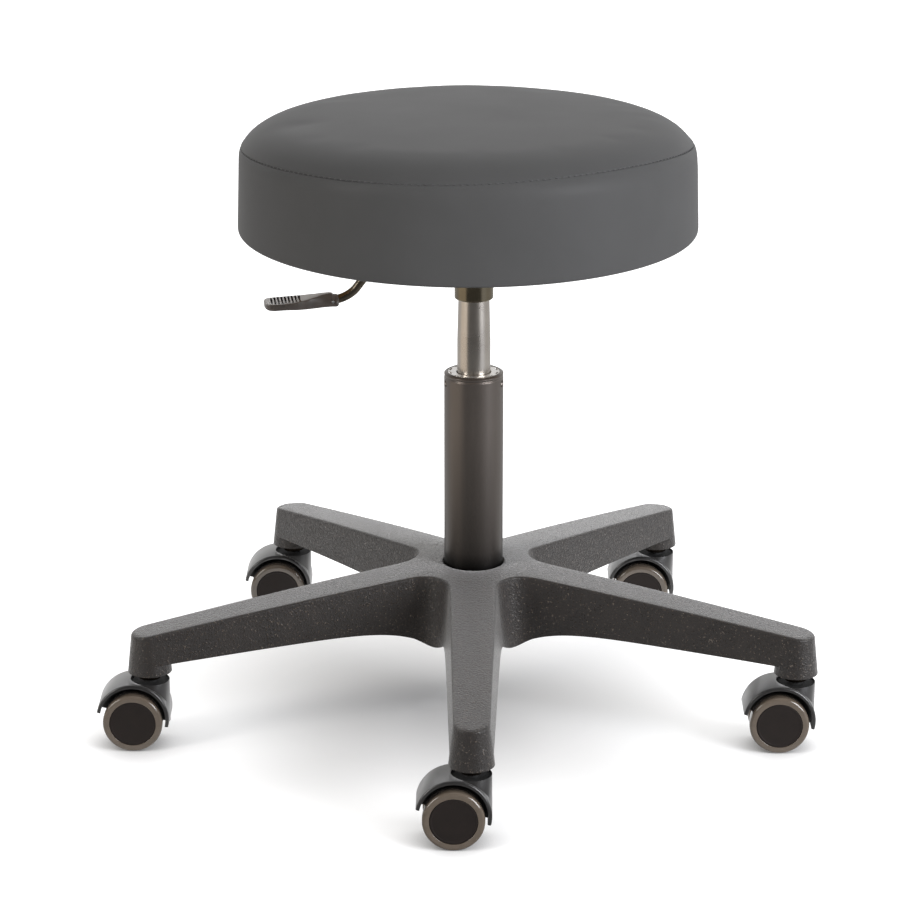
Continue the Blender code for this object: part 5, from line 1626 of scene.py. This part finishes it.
@dataclass
class Cushion:
    """The padded seat: a crowned top panel sewn to an upright band that turns under the board."""

    radius: float = 0.1897
    offset: float = -0.0049
    bottom: float = 0.4275
    height: float = 0.0951
    crown: float = 0.0027
    crown_power: float = 2.5
    knee_inset: float = 0.0415
    band: float = 0.0632
    lean: float = 0.0324
    side_power: float = 1.3
    right_drop: float = 0.0017
    right_run: Pair = (0.10, 0.186)
    right_cut: float = 0.0008
    cut_radius: float = 0.1845
    cut_half: float = 0.0055
    left_drop: float = 0.0016
    left_run: Pair = (0.08, 0.15)
    dent: float = 0.0011
    dent_place: Pair = (-0.142, -0.028)
    dent_radius: float = 0.020
    flare: float = 0.0014
    hem: float = 0.030
    hem_soft: float = 0.0022
    hem_bend_steps: int = 4
    hem_steps: int = 6
    pleats: int = 44
    pleat_depth: float = 0.0006
    thickness: float = 0.0014
    columns: int = 112
    swell_cap: float = 0.0005
    swell_frames: int = 20
    held_half: float = 0.003
    slack: float = 0.0004
    seam_level: float = 0.49774
    seam_waves: tuple[Pair, ...] = (
        (0.00143, -0.01168), (-0.00096, -0.00136), (-0.00027, -0.00149),
    )
    seam_inner: float = 0.14
    seam_depth: float = 0.0011
    seam_half: float = 0.00055
    seam_rows: tuple[float, ...] = (0.0008, 0.0020, 0.0045, 0.0090, 0.0160, 0.0260)
    pucker: float = 0.00016
    pucker_half: float = 0.005
    tight_turn: float = 278.0
    tight_spread: float = 42.0
    tight_share: float = 0.75
    stitch_inset: float = 0.005
    stitch_pitch: float = 0.0055
    stitch_length: float = 0.0036
    stitch_radius: float = 0.00042
    staples: int = 60
    staple_size: Triple = (0.0011, 0.009, 0.0007)
    board_low: float = 0.4292
    board_high: float = 0.4412
    board_inset: float = 0.0022
    board_soft: float = 0.0010

    def section(self, inset: float) -> Profile:
        """The cover's outside from the middle of its top to the inner edge of its hem.

        Args:
            inset: How far the profile is drawn in.

        Returns:
            The profile's points, finely spaced where the seam may run.
        """
        top = self.bottom + self.height - inset
        knee = self.radius - self.knee_inset
        points: Profile = []
        crown_steps = 30
        for step in range(crown_steps):
            radius = knee * step / crown_steps
            points.append((radius, top - self.crown * (radius / knee) ** self.crown_power))
        start = Vector((knee, top - self.crown))
        fall = Vector((1.0, -self.crown * self.crown_power / knee)).normalized()
        end = Vector((self.radius - inset, self.bottom + self.band))
        handle = end + Vector((0.0, 0.52 * (start.y - end.y)))
        for point in interpolate_bezier(start, start + 0.56 * self.knee_inset * fall, handle, end, 60):
            points.append((point[0], point[1]))
        wall_steps = 22
        low = self.bottom + self.hem_soft
        for step in range(1, wall_steps + 1):
            share = step / wall_steps
            radius = self.radius - inset * (1 - share) + self.flare * share
            points.append((radius, end.y + (low - end.y) * share))
        foot = self.radius + self.flare
        for step in range(1, self.hem_bend_steps + 1):
            angle = 0.5 * math.pi * step / self.hem_bend_steps
            radius = foot - self.hem_soft * (1 - math.cos(angle))
            points.append((radius, low - self.hem_soft * math.sin(angle)))
        for step in range(1, self.hem_steps + 1):
            radius = foot - self.hem_soft - (self.hem - self.hem_soft) * step / self.hem_steps
            points.append((radius, self.bottom))
        return points

    def seam_height(self, azimuth: float) -> float:
        """Height of the seam in a direction: it rides up at the front, where the cover was pulled askew."""
        waves = ((step + 1, wave) for step, wave in enumerate(self.seam_waves))
        return self.seam_level + sum(
            a * math.cos(k * azimuth) + b * math.sin(k * azimuth) for k, (a, b) in waves)

    def lean_foam(self, point: Vector) -> Vector:
        """Take a point of an even cushion to where the foam holds it: fuller in front, lower at the sides.

        Args:
            point: The point on the even cushion.

        Returns:
            The point on the leaning cushion.
        """
        flat = point.xy.length
        if flat < WELD:
            return point.copy()
        rise = smooth_step(point.z, self.bottom, self.bottom + self.band)
        right, left = max(0.0, point.x / flat), max(0.0, -point.x / flat)
        drop = self.right_drop * right ** self.side_power * smooth_step(flat, *self.right_run)
        drop += self.left_drop * left ** self.side_power * smooth_step(flat, *self.left_run)
        dent_x, dent_y = self.dent_place
        away = (point.x - dent_x) ** 2 + (point.y - dent_y) ** 2
        drop += self.dent * math.exp(-away / self.dent_radius ** 2)
        cut = 0.0
        if rise > 0.99:
            near = math.exp(-((flat - self.cut_radius) / self.cut_half) ** 2)
            cut = 0.7 * self.right_cut * right ** 2 * near
        return Vector((point.x * (1 - cut / flat), point.y * (1 - cut / flat),
                       point.z - rise * (self.lean * point.y + drop) - cut))

    def strip(self, azimuth: float) -> list[Vector]:
        """One line over the cover, with its points spaced from the seam outwards.

        Args:
            azimuth: The line's direction from the middle of the seat.

        Returns:
            Points from beside the top's middle to the hem's inner edge.
        """
        out = aim(azimuth)
        section = self.section(self.slack)
        hem = self.hem_bend_steps + self.hem_steps
        spots = [Vector((radius * out.x, radius * out.y, height)) for radius, height in section]
        line = [self.lean_foam(spot) for spot in spots]
        line, under = line[:-hem], line[-hem:]
        lengths = [0.0]
        for first, second in zip(line, line[1:]):
            lengths.append(lengths[-1] + (second - first).length)

        def at(length: float) -> Vector:
            """The point at a length along the line."""
            for index in range(1, len(line)):
                if length <= lengths[index] or index == len(line) - 1:
                    share = (length - lengths[index - 1]) / (lengths[index] - lengths[index - 1])
                    return line[index - 1].lerp(line[index], share)
            return line[-1].copy()

        level = self.seam_height(azimuth)
        below = next(i for i, spot in enumerate(line) if section[i][0] > self.seam_inner and spot.z < level)
        share = (line[below - 1].z - level) / (line[below - 1].z - line[below].z)
        seam = lengths[below - 1] + share * (lengths[below] - lengths[below - 1])
        far = self.seam_rows[-1]
        inner, outer, band_far = 18, 15, self.seam_rows[-3]
        stops = [(seam - far) * step / inner for step in range(1, inner)]
        stops += [seam - row for row in reversed(self.seam_rows)] + [seam]
        stops += [seam + row for row in self.seam_rows[:-2]]
        rest = lengths[-1] - seam - band_far
        stops += [seam + band_far + rest * step / outer for step in range(1, outer + 1)]
        return [at(stop) for stop in stops] + under

    def sheet(self) -> Object:
        """Lay the cover's coarse mesh, with one row of points along the seam.

        Returns:
            The open cover.
        """
        bm = bmesh.new()
        middle = bm.verts.new((0.0, 0.0, self.bottom + self.height - self.slack))
        lines = [[bm.verts.new(spot) for spot in self.strip(FULL_TURN * index / self.columns)]
                 for index in range(self.columns)]
        for index, line in enumerate(lines):
            after = lines[(index + 1) % self.columns]
            bm.faces.new((middle, line[0], after[0]))
            for row in range(len(line) - 1):
                bm.faces.new((line[row], line[row + 1], after[row + 1], after[row]))
        return from_bmesh(bm, "seat_cushion")

    def swell(self, cover: Object) -> None:
        """Blow the cover up as cloth, held along its seam and hem, and cap how far it moves.

        Args:
            cover: The cover's coarse mesh.
        """
        rest = [vertex.co.copy() for vertex in cover.data.vertices]
        held = cover.vertex_groups.new(name="held")
        for vertex in cover.data.vertices:
            spot = vertex.co
            near = abs(spot.z - self.seam_height(math.atan2(spot.y, spot.x)))
            outer = spot.xy.length > self.radius - self.knee_inset
            under = spot.z < self.bottom + self.hem_soft
            weight = 1.0 if under else (math.exp(-(near / self.held_half) ** 2) if outer else 0.0)
            held.add([vertex.index], weight, "REPLACE")
        focus(cover)
        cloth = cover.modifiers.new("swell", "CLOTH")
        settings = cloth.settings
        settings.quality = 6
        settings.mass = 0.4
        settings.tension_stiffness = settings.compression_stiffness = 25
        settings.bending_stiffness = 2
        settings.use_pressure = True
        settings.uniform_pressure_force = 4.0
        settings.vertex_group_mass = "held"
        settings.effector_weights.gravity = 0.0
        cloth.collision_settings.use_collision = False
        scene = bpy.context.scene
        for frame in range(1, self.swell_frames + 1):
            scene.frame_set(frame)
        bpy.ops.object.modifier_apply(modifier=cloth.name)
        scene.frame_set(1)
        cover.vertex_groups.clear()
        for vertex, old in zip(cover.data.vertices, rest):
            move = vertex.co - old
            if move.length > self.swell_cap:
                move *= self.swell_cap / move.length
            vertex.co = old + move
        cover.data.update()

    def sew(self, cover: Object) -> None:
        """Sink the seam's groove, pucker the cloth at its stitches and pleat the hem.

        Args:
            cover: The cover's fine mesh.
        """
        normals = [vertex.normal.copy() for vertex in cover.data.vertices]
        stitches = self.stitch_count()
        for vertex, normal in zip(cover.data.vertices, normals):
            spot = vertex.co
            flat = spot.xy.length
            if flat > self.radius - self.knee_inset - 0.01 and spot.z > self.bottom + 0.4 * self.band:
                azimuth = math.atan2(spot.y, spot.x)
                steep = max(0.25, math.hypot(normal.x, normal.y))
                away = (spot.z - self.seam_height(azimuth)) / steep
                dip = -self.seam_depth * self.seam_gape(azimuth) * math.exp(-(away / self.seam_half) ** 2)
                dip += self.pucker * math.cos(stitches * azimuth) * math.exp(-(away / self.pucker_half) ** 2)
                vertex.co = spot + dip * normal
            elif spot.z < self.bottom + 0.001 and flat < self.radius - self.hem_soft:
                angle = math.atan2(spot.y, spot.x)
                inward = (self.radius - self.hem_soft - flat) / self.hem
                fold = abs(math.sin(0.5 * self.pleats * angle)) ** 6
                vertex.co.z -= self.pleat_depth * fold * inward
        cover.data.update()

    def build(self, vinyl: Material, thread: Material, zinc: Material, plywood: Material) -> None:
        """Model and dress the seat.

        Args:
            vinyl: The cover's finish.
            thread: The stitches' finish.
            zinc: The staples' finish.
            plywood: The board's finish.
        """
        cover = self.sheet()
        self.swell(cover)
        apply_modifier(cover, "SUBSURF", levels=1, render_levels=1)
        self.sew(cover)
        apply_modifier(cover, "SOLIDIFY", thickness=self.thickness, offset=-1.0)
        self.stitch(cover, thread)
        self.place(cover, vinyl, "vinyl", "seat_cover", "seat_foam", angle=60.0)
        self.staple(zinc)
        self.board(plywood)

    def place(self, piece: Object, material: Material, slot: str, *nodes: str, angle: float) -> None:
        """Shift a piece as far off the column's axis as the pad sits, and dress it."""
        piece.data.transform(Matrix.Translation((self.offset, 0, 0)))
        dress(piece, material, "seat", slot, *nodes, angle=angle)

    def stitch_count(self) -> int:
        """How many stitches go round the seam."""
        return round(FULL_TURN * (self.radius - self.stitch_inset) / self.stitch_pitch)

    def seam_gape(self, azimuth: float) -> float:
        """How far the seam opens in a direction, from 0 to 1: it is drawn tight at the front."""
        turn = (math.degrees(azimuth) - self.tight_turn + 180.0) % 360.0 - 180.0
        return 1.0 - self.tight_share * math.exp(-(turn / self.tight_spread) ** 2)

    def seam_point(self, cover: Object, azimuth: float) -> tuple[Vector, Vector]:
        """Where the seam crosses one direction.

        Args:
            cover: The sewn cover.
            azimuth: The direction from the middle of the seat.

        Returns:
            The point on the cover and the cover's outward normal there.
        """
        out = aim(azimuth).to_3d()
        start = 2 * self.radius * out + Vector((0.0, 0.0, self.seam_height(azimuth)))
        hit, spot, normal, _ = cover.ray_cast(start, -out)
        if not hit:
            raise ValueError("the seam leaves the cover")
        return spot, normal

    def stitch(self, cover: Object, thread: Material) -> None:
        """Lay one row of stitches along the seam.

        Args:
            cover: The sewn cover.
            thread: Their finish.
        """
        bpy.context.view_layer.update()
        count = self.stitch_count()
        bm = bmesh.new()
        for index in range(count):
            azimuth = FULL_TURN * (index + 0.5) / count
            spot, normal = self.seam_point(cover, azimuth)
            ahead, _ = self.seam_point(cover, azimuth + 0.01)
            along = (ahead - spot).normalized()
            side = normal.cross(along).normalized()
            axes = Matrix((along, side, along.cross(side))).transposed().to_4x4()
            size = (0.5 * self.stitch_length, self.stitch_radius * 1.3, self.stitch_radius, 1.0)
            scale = Matrix.Diagonal(size)
            place = Matrix.Translation(spot + 0.4 * self.stitch_radius * normal)
            bmesh.ops.create_icosphere(bm, subdivisions=1, radius=1.0, matrix=place @ axes @ scale)
        self.place(from_bmesh(bm, "seat_stitches"), thread, "vinyl", angle=80.0)

    def board(self, plywood: Material) -> None:
        """Turn the board that carries the pad.

        Args:
            plywood: Its finish.
        """
        edge = self.radius - self.board_inset
        board = lathe("seat_board_dressed", rounded([
            (0.0, self.board_high, 0.0), (edge, self.board_high, self.board_soft),
            (edge, self.board_low, self.board_soft), (0.0, self.board_low, 0.0),
        ], 3), 96)
        self.place(board, plywood, "plywood", "seat_board", angle=35.0)

    def staple(self, zinc: Material) -> None:
        """Drive staples through the hem under the board.

        Args:
            zinc: Their finish.
        """
        staple = add_block("hem_staple", self.staple_size, Vector())
        soften(staple, 0.0002, 2)
        made = []
        for index in range(self.staples):
            angle = FULL_TURN * (index + 0.5) / self.staples
            radius = self.radius - 0.75 * self.hem + 0.0012 * math.sin(9 * angle)
            turn = Matrix.Rotation(angle + 0.12 * math.sin(7 * angle), 4, "Z")
            spot = Vector((radius * math.cos(angle), radius * math.sin(angle), self.bottom - 0.0005))
            made.append(copy_piece(staple, "hem_staple_copy", Matrix.Translation(spot) @ turn))
        bpy.data.objects.remove(staple, do_unlink=True)
        self.place(join(made, "hem_staples"), zinc, "plain_steel", angle=40.0)


# Works that stay as they were drawn

KEPT_NODES = {
    Surface.ZINC: ("thrust_washer_lower", "thrust_bearing", "thrust_washer_upper", "retaining_clip",
                   "lever_pivot_pin", "release_pin"),
    Surface.GROUND_STEEL: ("piston_rod",),
    Surface.DISC: ("piston",),
    Surface.RUBBER: ("bumper",),
}


# Stage

@dataclass
class Stage:
    """The pale floor, the soft studio light and the camera."""

    distance: float = 2.850
    camera_height: float = 1.17126
    camera_turn: float = math.radians(0.24)
    camera_roll: float = math.radians(0.1)
    pitch: float = math.radians(18.384)
    focal_px: float = 3538.48
    image_px: float = 918.0
    centre_px: float = 473.644
    sensor_mm: float = 36.0
    world_strength: float = 0.255
    floor_colour: str = "#cbcbcb"
    floor_lift: float = 1.0
    floor_side: float = 24.0
    glow_shift: Triple = (0.035, 0.0, 0.0)
    glow_run: Pair = (0.015, 0.35)
    contact_reach: float = 0.06
    contact_power: float = 1.6
    card_run: Pair = (0.40, 0.75)
    near_run: Pair = (-0.25, 0.15)
    near_gloss: Pair = (0.25, 1.25)
    cards: tuple[tuple[float, str], ...] = (
        (-180.0, "#d4d4d4"), (-108.0, "#d4d2d0"), (-99.0, "#fff3e4"), (-50.0, "#fff3e4"), (-44.0, "#6a6a6a"),
        (44.0, "#6a6a6a"), (50.0, "#e4e8ef"), (74.0, "#e4e8ef"), (84.0, "#d4d4d4"), (180.0, "#d4d4d4"),
    )
    room_gloss: float = 0.12
    backdrop_run: Pair = (-0.15, 0.45)

    def camera(self) -> None:
        """Stand the camera where the photograph was taken."""
        data = bpy.data.cameras.new("camera")
        data.sensor_width = self.sensor_mm
        data.lens = self.focal_px / self.image_px * self.sensor_mm
        data.shift_x = -(self.centre_px - self.image_px / 2) / self.image_px
        data.clip_end = 60.0
        camera = bpy.data.objects.new("camera", data)
        right, back = self.distance * math.sin(self.camera_turn), self.distance * math.cos(self.camera_turn)
        camera.location = (right, -back, self.camera_height)
        tilt = Matrix.Rotation(math.pi / 2 - self.pitch, 3, "X")
        roll = Matrix.Rotation(self.camera_roll, 3, "Z")
        camera.rotation_euler = (Matrix.Rotation(self.camera_turn, 3, "Z") @ tilt @ roll).to_euler()
        bpy.context.collection.objects.link(camera)
        bpy.context.scene.camera = camera

    def floor(self) -> None:
        """Lay a floor that glows white to the camera, a painted light that leaves the real shadow under the
        stool and dims near the wheels as painted contact shadow.
        """
        bpy.ops.object.select_all(action="DESELECT")
        bpy.ops.mesh.primitive_plane_add(size=self.floor_side, location=(0.0, 0.0, 0.0))
        floor = bpy.context.object
        floor.name = "studio_floor"
        material = bpy.data.materials.new("white_floor")
        material.use_nodes = True
        tree = material.node_tree
        shader = tree.nodes["Principled BSDF"]
        shader.inputs["Base Color"].default_value = linear_colour(self.floor_colour)
        shader.inputs["Roughness"].default_value = 0.9
        shader.inputs["Specular IOR Level"].default_value = 0.1
        shader.inputs["Emission Color"].default_value = WHITE
        path = add_node(tree, "LightPath")
        place = add_node(tree, "TexCoord").outputs["Object"]
        aside = add_node(tree, "VectorMath", (place, self.glow_shift)).outputs[0]
        away = add_node(tree, "VectorMath", (aside,), operation="LENGTH").outputs["Value"]
        glow = add_node(tree, "MapRange", (away, *self.glow_run, 0.0, self.floor_lift)).outputs[0]
        # Painted contact shadow: the glow is dimmed by ambient occlusion where the wheels and base come near
        # the floor.
        clear = add_node(tree, "AmbientOcclusion", {"Distance": self.contact_reach}, samples=12)
        open_sky = add_node(tree, "Math", (clear.outputs["AO"], self.contact_power), operation="POWER")
        glow = add_node(tree, "Math", (glow, open_sky.outputs[0]), operation="MULTIPLY").outputs[0]
        lift = add_node(tree, "Math", (path.outputs["Is Camera Ray"], glow), operation="MULTIPLY").outputs[0]
        tree.links.new(lift, shader.inputs["Emission Strength"])
        flat = add_node(tree, "SeparateXYZ", (place,)).outputs
        ahead = add_node(tree, "Math", (flat[1], -1.0), operation="MULTIPLY").outputs[0]
        bearing = add_node(tree, "Math", (flat[0], ahead), operation="ARCTAN2").outputs[0]
        share = add_node(tree, "MapRange", (bearing, -math.pi, math.pi)).outputs[0]
        cards = add_node(tree, "ValToRGB", (share,))
        stops = cards.color_ramp.elements
        for (degrees, code), stop in zip((self.cards[0], self.cards[-1]), (stops[0], stops[1])):
            stop.position = 0.5 + degrees / 360.0
            stop.color = linear_colour(code)
        for degrees, code in self.cards[1:-1]:
            stops.new(0.5 + degrees / 360.0).color = linear_colour(code)
        reach = add_node(tree, "MapRange", (away, *self.card_run), interpolation_type="SMOOTHSTEP").outputs[0]
        shown = add_node(tree, "Mix", {
            0: reach, 6: WHITE, 7: cards.outputs[0],
        }, data_type="RGBA").outputs[2]
        near = add_node(tree, "MapRange", (flat[1], *self.near_run, *self.near_gloss)).outputs[0]
        power = add_node(tree, "Mix", {0: reach, 2: near, 3: 1.0}).outputs[0]
        mirrored = add_node(tree, "Emission", {"Color": shown, "Strength": power}).outputs[0]
        seen = path.outputs["Is Glossy Ray"]
        mixed = add_node(tree, "MixShader", (seen, shader.outputs[0], mirrored)).outputs[0]
        tree.links.new(mixed, tree.nodes["Material Output"].inputs["Surface"])
        coat(floor, material)

    def world(self) -> None:
        """Fill the room with even light; the white backdrop shows to the camera and in reflections."""
        world = bpy.data.worlds.new("studio")
        world.use_nodes = True
        tree = world.node_tree
        background = tree.nodes["Background"]
        path = add_node(tree, "LightPath")
        direction = add_node(tree, "TexCoord").outputs["Generated"]
        depth = add_node(tree, "SeparateXYZ", (direction,)).outputs[1]
        backdrop = add_node(tree, "MapRange", (depth, *self.backdrop_run, self.room_gloss, 1.0),
                            interpolation_type="SMOOTHSTEP").outputs[0]
        plain = add_node(tree, "Mix", {
            0: path.outputs["Is Glossy Ray"], 2: self.world_strength, 3: backdrop,
        }).outputs[0]
        seen = add_node(tree, "Math", (path.outputs["Is Camera Ray"], path.outputs["Is Transmission Ray"]),
                        operation="MAXIMUM").outputs[0]
        strength = add_node(tree, "Mix", {0: seen, 2: plain, 3: 1.0}).outputs[0]
        background.inputs["Color"].default_value = WHITE
        tree.links.new(strength, background.inputs["Strength"])
        bpy.context.scene.world = world

    def lamp(self, name: str, place: Triple, size: Pair, power: float, colour: str = "#ffffff",
             target: Triple = (0.0, 0.0, 0.3), mirrored: bool = True) -> None:
        """Hang a soft box.

        Args:
            name: The lamp's name.
            place: Where it hangs.
            size: Its width and height.
            power: Its power in watts.
            colour: Its tint.
            target: The point that it faces.
            mirrored: Whether it shows in reflections.
        """
        data = bpy.data.lights.new(name, "AREA")
        data.shape = "RECTANGLE"
        data.size, data.size_y = size
        data.energy = power
        data.color = linear_colour(colour)[:3]
        lamp = bpy.data.objects.new(name, data)
        lamp.location = place
        lamp.visible_glossy = mirrored
        lamp.rotation_euler = (Vector(target) - Vector(place)).to_track_quat("-Z", "Y").to_euler()
        bpy.context.collection.objects.link(lamp)

    def build(self) -> None:
        """Set up the camera, floor, world, lamps and colour handling."""
        self.camera()
        self.floor()
        self.world()
        self.lamp("overhead", (0.2, 0.3, 3.4), (2.2, 2.2), 12.0)
        self.lamp("back_light", (0.1, 2.6, 2.1), (3.0, 1.2), 38.0, mirrored=False)
        self.lamp("right_box", (2.15, -1.45, 1.15), (1.3, 1.6), 78.0, "#fafbff")
        self.lamp("left_box", (-2.2, -1.3, 1.2), (0.6, 1.6), 31.0, "#fffbf7")
        bpy.context.scene.view_settings.view_transform = "Standard"


def main() -> None:
    """Build every sub-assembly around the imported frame."""
    logging.basicConfig(level=logging.INFO, format="%(message)s")
    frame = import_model()
    finishes = {surface: surface.value.make() for surface in Surface}
    Stage().build()
    base = StarBase()
    base.build(finishes[Surface.NYLON])
    Casters().build(base.stem_points(), finishes)
    column = Column()
    column.tube(finishes[Surface.COLUMN])
    column.bush(finishes[Surface.ACETAL])
    GasLift().build(finishes[Surface.GROUND_STEEL])
    SeatPlate().build(finishes[Surface.BLACK_COAT], finishes[Surface.ZINC])
    lever = Lever()
    lever.rod(finishes[Surface.ROD])
    lever.paddle(finishes[Surface.PADDLE])
    lever.screw(finishes[Surface.ZINC])
    Cushion().build(finishes[Surface.VINYL], finishes[Surface.THREAD], finishes[Surface.ZINC],
                    finishes[Surface.PLYWOOD])
    for surface, nodes in KEPT_NODES.items():
        for node in nodes:
            coat(frame["nodes"][node], finishes[surface])
            LOG.info("%s keeps its solid's form", node)


if __name__ == "__main__":
    main()
